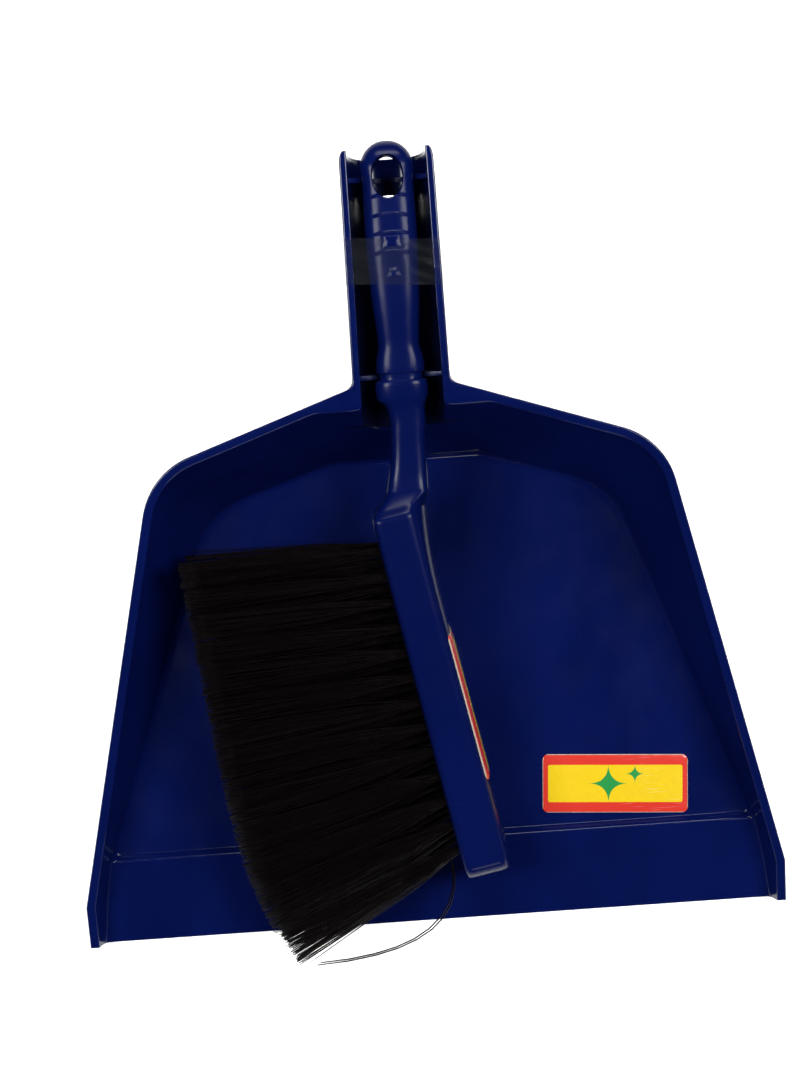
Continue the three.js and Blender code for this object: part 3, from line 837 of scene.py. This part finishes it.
def oval_cutter(name, middle, half_width, half_length, reach, flare, tilt=0.0):
    """An upright oval pin that widens towards both ends, so that the hole it cuts has rounded edges."""
    turn = Matrix.Rotation(tilt, 3, "X")
    rings = []
    for k in range(-10, 11):
        share = abs(k) / 10
        grow = flare * max(0.0, (share - 0.5) / 0.5) ** 3
        ring = []
        for step in range(56):
            angle = 2 * pi * step / 56
            x, y = (half_width + grow) * cos(angle), (half_length + grow) * sin(angle)
            ring.append(vec(*(turn @ Vector((x, y, reach * k / 10)))) + middle)
        rings.append(ring)
    return closed_loft(name, rings)


# ---- The hand brush, along its own axis from the tip of its handle ----

BRUSH_TILT = atan(HANDLE_SLOPE)
BRUSH_HOLE = {"s": 14.3, "half_width": 6.0, "half_length": 8.3}
DOME_HALF_WIDTH = 10.7
DOME_HALF_THICKNESS = 9.0
GRIP_ROUNDNESS = 3.2
AROUND = 160

# Stations along the grip: how far from the tip, then the section's half width and half thickness.
GRIP = [
    (10.7, 10.7, 9.0), (18, 10.2, 9.0), (38, 10.4, 9.0), (60, 9.8, 8.9), (66, 9.4, 8.8), (75, 8.6, 8.6),
    (81, 8.3, 8.4), (83.5, 8.75, 8.45), (86, 9.4, 8.5), (90, 9.75, 8.6), (91.4, 9.75, 8.6),
]
GROOVE_STATIONS = [
    (91.75, 9.5, 8.4), (91.95, 8.9, 8.1), (92.3, 8.75, 8.0), (94.5, 8.75, 8.0), (94.85, 9.0, 8.2),
]
COLLAR = [
    (95.05, 9.8, 8.6), (95.5, 10.35, 8.8), (97, 10.6, 8.85), (99, 10.7, 8.8), (101.5, 10.45, 8.7),
    (102.7, 10.1, 8.5),
]
# Stations along the neck add the sideways shift of the middle, the turn of the section and its roundness.
NECK = [
    (103.7, 9.2, 8.25, 0.4, 0.0, 3.3), (105.2, 8.0, 8.0, 0.9, 0.0, 3.4), (107, 7.6, 7.85, 1.2, 0.0, 3.5),
    (111.5, 7.3, 7.6, 1.5, 0.0, 3.6), (119, 7.0, 7.6, 1.1, 0.0, 3.8), (127, 7.3, 7.8, 0.8, 0.0, 4.0),
    (134.7, 8.0, 8.3, 0.1, 0.0, 4.2), (140.4, 8.7, 9.3, -0.6, 0.06, 4.6),
]
# Where the neck meets the head: distance along the head, half width, half thickness and inset.
HEAD_START = [
    (-3, 8.0, 11.6, 3.2), (-1.6, 8.25, 12.9, 1.5), (-0.4, 8.4, 14.0, 0.45), (0.4, 8.5, 14.6, 0.1),
    (1.2, 8.57, 14.9, 0.02),
]
HEAD_CORNER = vec(-15.8, -150.0)
HEAD_ANGLE = radians(10.54)
HEAD_LENGTH = 149.7
HEAD_HALF = 8.6
HEAD_WIDENING = 0.8
HEAD_THICK = 15.0
HEAD_ROUNDNESS = 7.0
HEAD_CROWN = 0.16
HEAD_SHOULDER = 0.45
SHOULDER_LENGTH = 40.0
HEAD_END = 8.3

GRIP_ARCS = (22.1, 29.7, 36.8, 44.3)
ARC_BULGE = 2.6
ARC_WIDTH = 0.5
ARC_DEPTH = 0.4
ARC_HALF = 7.0
TAB_HEIGHT = 0.4
# Each tab: where it starts, its length, and its half width at either end.
GRIP_TABS = ((37.4, 5.0, 2.2, 2.8), (49.4, 4.4, 0.2, 2.2))

HEAD_ALONG = vec(sin(HEAD_ANGLE), -cos(HEAD_ANGLE))
HEAD_ACROSS = vec(cos(HEAD_ANGLE), sin(HEAD_ANGLE))
HEAD_ALONG3 = vec(*HEAD_ALONG, 0)
HEAD_ACROSS3 = vec(*HEAD_ACROSS, 0)
BRUSH_TURN = np.array(Matrix.Rotation(BRUSH_TILT, 3, "X"))


def placed(p):
    """From the brush's own frame to the shared one."""
    return BRUSH_TURN @ p + BRUSH_TIP


def head_point(along, across):
    return HEAD_CORNER + HEAD_ALONG * along + HEAD_ACROSS * across


def head_half(along):
    return HEAD_HALF + HEAD_WIDENING * along / HEAD_LENGTH


def head_crown(along):
    """How far the head's back bulges, with a shoulder beside the neck."""
    return HEAD_CROWN + HEAD_SHOULDER * max(0.0, 1 - along / SHOULDER_LENGTH) ** 2


def power_curve(value, power):
    return copysign(abs(value) ** power, value)


def brush_section(middle, turn, half, thick, roundness, crown=0.0):
    """A superellipse ring. The head's back, on its right, is crowned."""
    ring = []
    for k in range(AROUND):
        angle = 2 * pi * k / AROUND
        side = power_curve(cos(angle), 2 / roundness)
        rise = power_curve(sin(angle), 2 / roundness)
        bulge = 1 + crown * (1 - rise * rise) if side > 0 else 1
        across = half * side * bulge
        x, y = middle[0] + across * cos(turn), middle[1] + across * sin(turn)
        ring.append(vec(x, y, thick * rise))
    return ring


def smooth_stations(stations, step):
    """Stations closer together, on a curve through the given ones that doesn't overshoot them."""
    table = np.array(stations, float)
    s = table[:, 0]
    gaps, rises = np.diff(s)[:, None], np.diff(table[:, 1:], axis=0)
    slopes = rises / gaps
    product = slopes[:-1] * slopes[1:]
    harmonic = 2 * product / np.where(product > 0, slopes[:-1] + slopes[1:], 1)
    tangents = np.vstack([slopes[:1], np.where(product > 0, harmonic, 0), slopes[-1:]])
    made = []
    for i in range(len(s) - 1):
        steps = max(1, round((s[i + 1] - s[i]) / step))
        for k in range(steps):
            t, gap = k / steps, s[i + 1] - s[i]
            values = ((1 + 2 * t) * (1 - t) ** 2 * table[i, 1:] + t * (1 - t) ** 2 * gap * tangents[i]
                      + t * t * (3 - 2 * t) * table[i + 1, 1:] + t * t * (t - 1) * gap * tangents[i + 1])
            made.append((s[i] + t * gap, *values))
    return [*made, tuple(table[-1])]


def dome_stations():
    rings = []
    for k in range(1, 16):
        s = DOME_HALF_WIDTH * (1 - cos(pi / 2 * k / 16))
        grow = sqrt(1 - (1 - s / DOME_HALF_WIDTH) ** 2)
        rings.append((s, DOME_HALF_WIDTH * grow, DOME_HALF_THICKNESS * grow))
    return rings


def handle_rings():
    marked = smooth_stations([g for g in GRIP if g[0] <= 66], 0.25)
    plain = smooth_stations([g for g in GRIP if g[0] >= 66], 1.0)
    stations = [*dome_stations(), *marked, *plain[1:], *GROOVE_STATIONS, *COLLAR]
    rings = [brush_section(vec(0, -s), 0.0, half, thick, GRIP_ROUNDNESS) for s, half, thick in stations]
    neck = smooth_stations([(*COLLAR[-1], 0.0, 0.0, GRIP_ROUNDNESS), *NECK], 1.5)
    rings += [brush_section(vec(x, -s), turn, half, thick, r) for s, half, thick, x, turn, r in neck[1:]]
    return rings


def head_rings():
    def at(along, half, thick, inset=0.0):
        middle = head_point(along, half + inset)
        return brush_section(middle, HEAD_ANGLE, half, thick, HEAD_ROUNDNESS, head_crown(along))
    rings = [at(*station) for station in HEAD_START]
    alongs = [*np.linspace(2.2, SHOULDER_LENGTH, 26), *np.linspace(SHOULDER_LENGTH, HEAD_LENGTH, 14)[1:]]
    rings += [at(along, head_half(along), HEAD_THICK) for along in alongs]
    end_half = head_half(HEAD_LENGTH)
    for k in range(1, 13):
        part = sin(pi / 2 * k / 12.4)
        inset = 0.6 * part
        thick = HEAD_THICK * sqrt(1 - part * part)
        rings.append(at(HEAD_LENGTH + HEAD_END * part, end_half - inset, thick, inset))
    return rings


def grip_relief(s, x):
    """The relief of the grip's flat sides: thin arcs that bulge towards the dome, and two raised tabs."""
    share = x / DOME_HALF_WIDTH
    lift = 0.0
    for at in GRIP_ARCS:
        off = (s - at - ARC_BULGE * (share * share - 0.35)) / ARC_WIDTH
        lift -= ARC_DEPTH * exp(-2 * off * off)
    lift *= 1 - float(smoothstep(ARC_HALF - 0.8, ARC_HALF, abs(x)))
    for start, length, near, far in GRIP_TABS:
        part = (s - start) / length
        inside = smoothstep(0, 0.12, part) * smoothstep(0, 0.12, 1 - part)
        half = lerp(near, far, float(np.clip(part, 0, 1)))
        lift += TAB_HEIGHT * float(inside * smoothstep(-0.35, 0.1, half - abs(x)))
    return lift


def add_grip_relief(rings):
    for ring in rings:
        for i, p in enumerate(ring):
            lift = grip_relief(-p[1], p[0])
            flat = float(smoothstep(0.5, 0.8, abs(p[2]) / DOME_HALF_THICKNESS))
            ring[i] = p + vec(0, 0, copysign(lift * flat, p[2]))
    return rings


TUFT_ROWS = {"top": (1, 13, 0.0), "middle": (0, 12, 0.5), "bottom": (-1, 13, 0.0)}
TUFT_FIRST = 14.0
TUFT_PITCH = 10.75
TUFT_ROW_SPACING = 8.6
TUFT_LENGTH = 82.0
TUFT_LENGTHENING = 9.0
TIP_ROW_SPACING = 10.7
FAN_START = radians(-8)
FAN_SPREAD = radians(24)
FAN_POWER = 2.5
SOCKET_RADIUS = 2.25
SOCKET_DEPTH = 11.5


def tuft_roots():
    """Name, root, direction, length and half width at the tips of each tuft."""
    for row, (side, count, offset) in TUFT_ROWS.items():
        for k in range(count):
            part = (k + offset) / (TUFT_ROWS["top"][1] - 1)
            fan = FAN_START + FAN_SPREAD * part ** FAN_POWER
            opening = FAN_SPREAD * FAN_POWER * part ** (FAN_POWER - 1) / (TUFT_ROWS["top"][1] - 1)
            length = TUFT_LENGTH + TUFT_LENGTHENING * (part - part ** 10)
            root = head_point(TUFT_FIRST + (k + offset) * TUFT_PITCH, 0)
            out = -HEAD_ACROSS * cos(fan) + HEAD_ALONG * sin(fan)
            lean = (TIP_ROW_SPACING - TUFT_ROW_SPACING) * side / length
            direction = unit(vec(out[0], out[1], lean))
            half = (TUFT_PITCH * cos(fan) + length * opening) / 2
            yield f"tuft_{row}_{k + 1:02d}", vec(*root, side * TUFT_ROW_SPACING), direction, length, half


def socket_cutters():
    """One cutter for all the tufts' holes. Each opens a little at the face."""
    skin = Skin()
    for _name, root, out, _length, _half in tuft_roots():
        along = unit(np.cross(vec(0, 0, 1), out))
        up = np.cross(out, along)
        rings = []
        for d, r in ((-SOCKET_DEPTH, 1.0), (-0.5, 1.0), (-0.2, 1.04), (0.1, 1.14), (0.3, 1.25), (4, 1.25)):
            angles = [2 * pi * k / 20 for k in range(20)]
            radius = SOCKET_RADIUS * r
            ring = [root + out * d + (along * cos(a) + up * sin(a)) * radius for a in angles]
            rings.append([placed(p) for p in ring])
        skin.loft(rings)
    return skin.build("sockets")


def make_brush_body():
    rings = [*add_grip_relief(handle_rings()), *head_rings()]
    body = closed_loft("brush", [[placed(p) for p in ring] for ring in rings])
    middle = placed(vec(0, -BRUSH_HOLE["s"], 0))
    size = (BRUSH_HOLE["half_width"], BRUSH_HOLE["half_length"])
    cut(body, oval_cutter("hanging_hole", middle, *size, 10.5, 2.2, BRUSH_TILT))
    cut(body, socket_cutters())
    return body


# ---- Bristles ----

FILAMENTS = 72
FILAMENT_RADIUS = 0.17
STRAY_RADIUS = 0.32
FILAMENT_POINTS = 13
FILAMENT_SIDES = 4
ROOT_SPREAD = 1.75
ROOT_DEPTH = 9.0
TIP_OVERLAP = 1.2
TIP_THICKNESS = 5.0
LOOSE_SHARE = 0.05
LOOSE_SPREAD = 1.6
LOOSE_BOW = 2.6
LOOSE_SHORTER = (1, 6)
BOW = (0.55, 0.5)
SEED = 41


def filament_path(root, out, along, up, length, half, rng):
    """A bristle from its socket to its tip, with a little bow. A few are loose, and cross the others."""
    angle, radius = rng.uniform(0, 2 * pi), ROOT_SPREAD * sqrt(rng.uniform(0, 1))
    start = np.array([cos(angle), sin(angle)]) * radius
    loose = rng.random() < LOOSE_SHARE
    side = rng.uniform(-1, 1)
    rise = rng.uniform(-1, 1)
    tip = np.array([side * half * TIP_OVERLAP, rise * TIP_THICKNESS]) * (LOOSE_SPREAD if loose else 1)
    tip = 0.75 * tip + 0.25 * start / ROOT_SPREAD * np.array([half, TIP_THICKNESS])
    bow = np.array([rng.gauss(0, size) for size in BOW]) * (LOOSE_BOW if loose else 1)
    wave = rng.uniform(0, 2 * pi)
    reach = length - abs(rng.gauss(0, 0.5)) - (rng.uniform(*LOOSE_SHORTER) if loose else 0)
    points = []
    for k in range(FILAMENT_POINTS):
        t = k / (FILAMENT_POINTS - 1)
        d = lerp(-ROOT_DEPTH, reach, t)
        open_share = smoothstep(-3, 30, d) * 0.35 + max(0.0, d) / length * 0.65
        offset = lerp(start, tip, open_share) + bow * sin(pi * t) * sin(2.2 * t + wave) * t
        points.append(root + out * d + along * offset[0] + up * offset[1])
    return points


def stray_path(root, out, turn, reach):
    """A long loose bristle that leaves along the head's end and then curves back towards the tips."""
    rest = [root + out * d for d in (-ROOT_DEPTH, 1.0)]
    far = root + (HEAD_ALONG3 * 0.36 - HEAD_ACROSS3 * 0.74) * reach
    control = root + (HEAD_ALONG3 * 0.47 - HEAD_ACROSS3 * turn) * reach
    return [*rest, *bezier(root + out * 4, control, far, FILAMENT_POINTS - 3)]


def tubes(name, paths, shades, radii):
    """Thin closed tubes along the paths, each with a shade of its own."""
    verts, faces, values = [], [], []
    for path, shade, thickness in zip(paths, shades, radii):
        faces += loft_faces(len(verts), len(path), FILAMENT_SIDES)
        path = [placed(p) for p in path]
        side = unit(np.cross(path[-1] - path[0], vec(0.3, 0.2, 1)))
        for k, p in enumerate(path):
            ahead = unit(path[min(k + 1, len(path) - 1)] - path[max(k - 1, 0)])
            right = unit(side - ahead * (side @ ahead))
            other = np.cross(ahead, right)
            radius = thickness * (0.8 if k == len(path) - 1 else 1)
            for corner in range(FILAMENT_SIDES):
                a = 2 * pi * corner / FILAMENT_SIDES
                verts.append((p + (right * cos(a) + other * sin(a)) * radius) * MM)
                values.append(shade)
    mesh = bpy.data.meshes.new(name)
    mesh.from_pydata([tuple(v) for v in verts], [], faces)
    store(mesh, "shade", values)
    mesh.shade_smooth()
    mesh.set_sharp_from_angle(angle=radians(100))
    return link(name, mesh)


def make_tufts():
    rng = random.Random(SEED)
    tufts = {}
    for node, root, out, length, half in tuft_roots():
        along = unit(np.cross(vec(0, 0, 1), out))
        if along[1] > 0:
            along = -along
        up = np.cross(out, along)
        count = round(FILAMENTS * half / TUFT_PITCH * 2)
        paths = [filament_path(root, out, along, up, length, half, rng) for _ in range(count)]
        radii = [FILAMENT_RADIUS] * count
        if node == "tuft_top_13":
            paths += [stray_path(root, out, 0.05, 92), stray_path(root, out, 0.02, 94)]
            radii += [STRAY_RADIUS] * 2
        shades = [rng.random() for _ in paths]
        tufts[node] = tubes(node.replace("tuft", "bristles"), paths, shades, radii)
    return tufts


# ---- Labels ----

LABEL_LENGTH = 63.0
LABEL_WIDTH = 25.3
LABEL_RADIUS = 2.6
PAN_LABEL_AT = vec(80.7, -106.3)
PAN_LABEL_TURN = radians(-3.9)
BRUSH_LABEL_ALONG = 85.0


def rounded_rectangle(inset):
    x, y = LABEL_LENGTH / 2 - inset, LABEL_WIDTH / 2 - inset
    r = max(0.4, LABEL_RADIUS - inset)
    arcs = []
    for index, (cx, cy) in enumerate(((x - r, y - r), (r - x, y - r), (r - x, r - y), (x - r, r - y))):
        angles = [pi / 2 * (index + k / 6) for k in range(7)]
        arcs.append([vec(cx + r * cos(a), cy + r * sin(a)) for a in angles])
    points = []
    for arc, following, steps in zip(arcs, [*arcs[1:], arcs[0]], (16, 8, 16, 8)):
        points += [*arc[:-1], *run(arc[-1], following[0], steps)]
    return points


def make_label(name, place):
    """A domed sticker. place() puts a point of it, and its lift from the surface, where it lies."""
    profile = ((0, 0), (0, 0.3), (0.06, 0.44), (0.22, 0.53), (0.6, 0.6), (1.6, 0.68), (4, 0.78), (8, 0.84))
    rings = [[(*p, lift) for p in rounded_rectangle(inset)] for inset, lift in profile]
    verts = [p for ring in rings for p in ring]
    mesh = bpy.data.meshes.new(name)
    faces = loft_faces(0, len(rings), len(rings[0]))
    mesh.from_pydata([Vector(place(*p)) * MM for p in verts], [], faces)
    uv = mesh.uv_layers.new(name="print")
    for loop in mesh.loops:
        x, y, _lift = verts[loop.vertex_index]
        uv.data[loop.index].uv = (x / LABEL_LENGTH + 0.5, y / LABEL_WIDTH + 0.5)
    obj = link(name, mesh)
    finish_shape(obj, 50)
    return obj


def on_pan_floor(x, y, lift):
    c, s = cos(PAN_LABEL_TURN), sin(PAN_LABEL_TURN)
    at = PAN_LABEL_AT + vec(c * x - s * y, s * x + c * y)
    return vec(at[0], at[1], WALL + 0.05 + lift)


def on_head_back(x, y, lift):
    rise = abs(y) / HEAD_THICK
    along = BRUSH_LABEL_ALONG - x
    side = (1 - rise ** HEAD_ROUNDNESS) ** (1 / HEAD_ROUNDNESS)
    back = head_half(along) * (1 + side * (1 + HEAD_CROWN * (1 - rise * rise)))
    return placed(vec(*head_point(along, back + 0.05 + lift), -y))


# ---- The band of tape ----

TAPE_Y = 117.2
TAPE_WIDTH = 18.2
TAPE_THICKNESS = 0.14
TAPE_FLAP = 8.5
TAPE_SKEW = 0.07
TAPE_ROUND = 0.7
GRIP_UNDER_TAPE = (9.85, 9.0)


def grip_height(x):
    half, thick = GRIP_UNDER_TAPE
    return thick * max(0.0, 1 - (abs(x) / half) ** GRIP_ROUNDNESS) ** (1 / GRIP_ROUNDNESS)


def tape_half_path():
    """Half of the tape's line: over the grip, straight down to the flange, and round its edge."""
    side = channel_half(TAPE_Y - TAPE_WIDTH) + FLANGE + 0.3
    flange = (top_height(TAPE_Y) - brush_axis_height(TAPE_Y)) * cos(BRUSH_TILT) + 0.25
    lift = 0.2
    samples = [k * 0.25 for k in range(36)]
    leave = max(samples, key=lambda x: (grip_height(x) + lift - flange) / (side - x))
    over = [vec(x, grip_height(x) + lift) for x in np.linspace(0, leave, 12)]
    edge = vec(side, flange)
    toward = unit(edge - over[-1])
    straight = [lerp(over[-1], edge - toward * TAPE_ROUND, k / 12) for k in range(1, 12)]
    rounding = bezier(edge - toward * TAPE_ROUND, edge, edge + vec(0, -TAPE_ROUND), 5)
    flap = [lerp(rounding[-1], edge - vec(0, TAPE_FLAP), k / 8) for k in range(1, 9)]
    return [*over, *straight, *rounding, *flap]


def make_tape():
    half = tape_half_path()
    line = [*[vec(-p[0], p[1]) for p in half[:0:-1]], *half]
    centre = -(BRUSH_TIP[1] - TAPE_Y) / cos(BRUSH_TILT)
    across = 30
    sheets = []
    for lift in (TAPE_THICKNESS, 0.0):
        sheet = []
        for i, p in enumerate(line):
            before, after = line[max(i - 1, 0)], line[min(i + 1, len(line) - 1)]
            t = unit(after - before)
            normal = vec(-t[1], t[0])
            row = []
            for k in range(across + 1):
                y = centre + (k / across - 0.5) * TAPE_WIDTH
                free = float(smoothstep(5, 8, abs(p[0])) * (1 - smoothstep(17.0, 19.0, abs(p[0]))))
                ripple = 0.16 * sin(y * 0.9 + p[0] * 0.35) * sin(y * 0.31 + 1.3) * free
                at = p + normal * (lift + ripple)
                row.append(placed(vec(at[0], y - TAPE_SKEW * at[0], at[1])))
            sheet.append(row)
        sheets.append(sheet)
    skin = Skin()
    top, under = sheets
    skin.grid(top)
    skin.grid([row[::-1] for row in under])
    for k in (0, -1):
        skin.grid([[a, b] for a, b in zip(top[k], under[k])])
        skin.grid([[a[k], b[k]] for a, b in zip(top, under)])
    tape = skin.build("tape_band")
    finish_shape(tape, 60)
    return tape


# ---- Materials ----

class Nodes:
    """A short way to write a material's nodes."""

    def __init__(self, name):
        self.material = bpy.data.materials.new(name)
        self.material.use_nodes = True
        self.tree = self.material.node_tree
        self.shader = self.tree.nodes["Principled BSDF"]
        self.output = self.tree.nodes["Material Output"]

    def put(self, socket, value):
        if isinstance(value, bpy.types.NodeSocket):
            self.tree.links.new(value, socket)
        else:
            socket.default_value = value

    def node(self, kind, inputs=(), **settings):
        made = self.tree.nodes.new(kind)
        for key, value in settings.items():
            setattr(made, key, value)
        for key, value in dict(inputs).items():
            self.put(made.inputs[key], value)
        return made

    def math(self, operation, a, b=0.0, c=0.0):
        return self.node("ShaderNodeMath", {0: a, 1: b, 2: c}, operation=operation).outputs[0]

    def times(self, a, b):
        return self.math("MULTIPLY", a, b)

    def ramp(self, value, low, high, to_low=0.0, to_high=1.0):
        inputs = {"Value": value, "From Min": low, "From Max": high, "To Min": to_low, "To Max": to_high}
        return self.node("ShaderNodeMapRange", inputs, interpolation_type="SMOOTHSTEP").outputs["Result"]

    def mix(self, share, a, b):
        made = self.node("ShaderNodeMix", data_type="RGBA")
        self.put(made.inputs[0], share)
        self.put(made.inputs[6], a)
        self.put(made.inputs[7], b)
        return made.outputs[2]

    def place(self, scale=(1, 1, 1), turn=(0, 0, 0)):
        """Coordinates in the object's own space, in metres, scaled and turned."""
        where = self.node("ShaderNodeTexCoord").outputs["Object"]
        return self.node("ShaderNodeMapping", {"Vector": where, "Scale": scale, "Rotation": turn}).outputs[0]

    def noise(self, scale, detail=2.0, where=None, roughness=0.5):
        inputs = {"Vector": where or self.place(), "Scale": scale, "Detail": detail, "Roughness": roughness}
        return self.node("ShaderNodeTexNoise", inputs).outputs["Fac"]

    def attribute(self, name):
        return self.node("ShaderNodeAttribute", attribute_name=name).outputs["Fac"]

    def bump(self, height, distance, strength=1.0, normal=None):
        inputs = {"Height": height, "Distance": distance, "Strength": strength}
        made = self.node("ShaderNodeBump", inputs)
        if normal:
            self.put(made.inputs["Normal"], normal)
        return made.outputs[0]

    def finish(self, color, roughness, normal=None, **sockets):
        self.put(self.shader.inputs["Base Color"], color)
        self.put(self.shader.inputs["Roughness"], roughness)
        if normal:
            self.put(self.shader.inputs["Normal"], normal)
        for name, value in sockets.items():
            self.put(self.shader.inputs[name.replace("_", " ")], value)
        return self.material


def scratches(nodes, turn, scale, threshold):
    """Sparse fine lines, from noise stretched far along one direction and broken up by a wider one."""
    lines = nodes.noise(1.0, 1.0, nodes.place((scale, scale * 60, scale), (0, 0, turn)))
    patches = nodes.noise(22.0, 1.0, nodes.place((1, 1, 1), (0, 0, turn)))
    lines = nodes.ramp(lines, threshold, threshold + 0.05)
    return nodes.times(lines, nodes.ramp(patches, 0.54, 0.7))


DEEP_BLUE = (0.0009, 0.0035, 0.042, 1)
DUST_GREY = (0.06, 0.065, 0.08, 1)
# The dark colour of the painted shade deep in the channel.
PAINTED_SHADE_DARK = (0.0006, 0.0008, 0.0016, 1)


def moulded_plastic(name, color, worn, polish, shine):
    """Moulded plastic with faint flow marks, fine scratches, dust, painted shade in the channel's recess and
    slightly worn edges.
    """
    nodes = Nodes(name)
    flow = nodes.noise(26.0, 3.0, nodes.place((1.0, 0.45, 1.0)))
    grain = nodes.noise(900.0, 2.0)
    lines = nodes.math("MAXIMUM", scratches(nodes, 0.5, 28.0, 0.72), scratches(nodes, -0.9, 34.0, 0.73))
    dust = nodes.ramp(nodes.noise(2300.0, 0.0), 0.82, 0.88)
    patches = nodes.ramp(nodes.noise(160.0), 0.35, 0.65)
    wear = nodes.times(nodes.ramp(nodes.attribute("wear"), 0.3, 1.0), patches)
    tone = nodes.mix(nodes.ramp(flow, 0.35, 0.65), DEEP_BLUE, color)
    painted_shade = nodes.attribute("painted_shade")
    # The last layer paints shade deep in the channel by darkening its colour.
    for mask, amount, layer in ((wear, 0.15, worn), (dust, 0.25, DUST_GREY), (painted_shade, 0.72, PAINTED_SHADE_DARK)):
        tone = nodes.mix(nodes.times(mask, amount), tone, layer)
    roughness = nodes.ramp(nodes.noise(60.0, 4.0), 0.3, 0.7, polish, polish + 0.05)
    for mask, amount in ((lines, 0.14), (wear, 0.06), (painted_shade, 0.2)):
        roughness = nodes.math("MULTIPLY_ADD", mask, amount, roughness)
    normal = nodes.bump(grain, 0.003 * MM, 0.4)
    normal = nodes.bump(flow, 0.3 * MM, 0.05, normal)
    normal = nodes.bump(nodes.times(lines, -1.0), 0.015 * MM, 0.4, normal)
    return nodes.finish(tone, roughness, normal, IOR=1.46, Specular_IOR_Level=shine)


def bristle_material():
    nodes = Nodes("bristle_fibre")
    shade = nodes.attribute("shade")
    along = nodes.noise(300.0, 2.0)
    tone = nodes.mix(shade, (0.0011, 0.0006, 0.0008, 1), (0.0030, 0.0017, 0.0021, 1))
    tone = nodes.mix(nodes.ramp(along, 0.6, 0.85, 0.0, 0.5), tone, (0.007, 0.0048, 0.005, 1))
    roughness = nodes.ramp(shade, 0.0, 1.0, 0.3, 0.45)
    return nodes.finish(tone, roughness, nodes.bump(nodes.noise(2600.0), 0.02 * MM, 0.5), IOR=1.5,
                        Specular_IOR_Level=0.1, Specular_Tint=(0.4, 0.38, 0.38, 1))


def sparkle(nodes, x, y, at, size):
    """A star with four hollow sides."""
    reach = [nodes.math("SQRT", nodes.math("ABSOLUTE", nodes.math("SUBTRACT", value, middle)))
             for value, middle in zip((x, y), at)]
    edge = sqrt(size)
    return nodes.ramp(nodes.math("ADD", *reach), edge - 0.05, edge + 0.02, 1.0, 0.0)


# Each star on the label: its middle, and its size.
LABEL_STARS = (((-3.0, 0.0), 9.0), ((8.5, 4.2), 4.5))


def label_material():
    """A plain printed sticker: a warm field in a red frame, with two four-pointed stars."""
    nodes = Nodes("printed_label")
    where = nodes.node("ShaderNodeUVMap", uv_map="print").outputs["UV"]
    split = nodes.node("ShaderNodeSeparateXYZ", {0: where})
    sizes = (("X", LABEL_LENGTH), ("Y", LABEL_WIDTH))
    x, y = [nodes.times(nodes.math("SUBTRACT", split.outputs[axis], 0.5), size) for axis, size in sizes]
    edge_x, edge_y = [nodes.math("SUBTRACT", size / 2, nodes.math("ABSOLUTE", value))
                      for value, (_axis, size) in zip((x, y), sizes)]
    edge = nodes.math("SMOOTH_MIN", edge_x, edge_y, 1.5)
    border = nodes.math("SMOOTH_MIN", nodes.math("ADD", edge_x, 2.2), edge_y, 1.5)
    field = nodes.mix(nodes.noise(420.0, 3.0), (0.58, 0.40, 0.009, 1), (0.65, 0.46, 0.014, 1))
    stars = [sparkle(nodes, x, y, at, size) for at, size in LABEL_STARS]
    tone = nodes.mix(nodes.math("MAXIMUM", *stars), field, (0.02, 0.22, 0.05, 1))
    tone = nodes.mix(nodes.ramp(border, 4.5, 4.65, 1.0, 0.0), tone, (0.50, 0.03, 0.02, 1))
    tone = nodes.mix(nodes.ramp(edge, 0.25, 0.35, 1.0, 0.0), tone, (0.36, 0.30, 0.24, 1))
    rub = scratches(nodes, 0.3, 60.0, 0.66)
    tone = nodes.mix(nodes.times(rub, 0.3), tone, (0.5, 0.5, 0.48, 1))
    roughness = nodes.ramp(nodes.noise(90.0, 3.0), 0.3, 0.7, 0.12, 0.2)
    roughness = nodes.math("ADD", roughness, nodes.times(rub, 0.3))
    return nodes.finish(tone, roughness, nodes.bump(nodes.noise(700.0), 0.01 * MM, 0.4), IOR=1.5)


def tape_material():
    nodes = Nodes("clear_film")
    haze = nodes.noise(120.0, 4.0, nodes.place((1, 0.25, 1)))
    tone = nodes.mix(haze, (0.018, 0.022, 0.03, 1), (0.03, 0.034, 0.044, 1))
    roughness = nodes.ramp(haze, 0.3, 0.7, 0.14, 0.3)
    normal = nodes.bump(nodes.noise(75.0, 3.0, nodes.place((0.35, 1.6, 1))), 0.5 * MM, 0.25)
    return nodes.finish(tone, roughness, normal, IOR=1.47, Alpha=0.08, Specular_IOR_Level=0.3)


# ---- Assembly ----

def main():
    make_studio()
    pan_plastic = moulded_plastic(
        "pan_plastic", (0.0014, 0.0047, 0.053, 1), (0.004, 0.012, 0.10, 1), polish=0.1, shine=0.28)
    brush_plastic = moulded_plastic(
        "brush_plastic", (0.0012, 0.0043, 0.050, 1), (0.004, 0.012, 0.09, 1), polish=0.2, shine=0.1)
    for piece, node in ((make_pan(), ["dust_pan"]), (cradle(0), []), (cradle(1), [])):
        finish_shape(piece)
        # The channel's depths get painted shade, which the material darkens.
        mark_painted_shade(piece, channel_painted_shade)
        dress(piece, pan_plastic, "pan", "pan_plastic", *node)
    body = make_brush_body()
    finish_shape(body)
    dress(body, brush_plastic, "brush", "brush_plastic", "brush_body")
    fibre = bristle_material()
    for node, tuft in make_tufts().items():
        dress(tuft, fibre, "brush", "bristle", node)
    print_material = label_material()
    dress(make_label("label_on_pan", on_pan_floor), print_material, "pan", "label", "pan_label")
    dress(make_label("label_on_brush", on_head_back), print_material, "brush", "label", "brush_label")
    dress(make_tape(), tape_material(), "tape", "clear_tape", "packing_tape")


main()
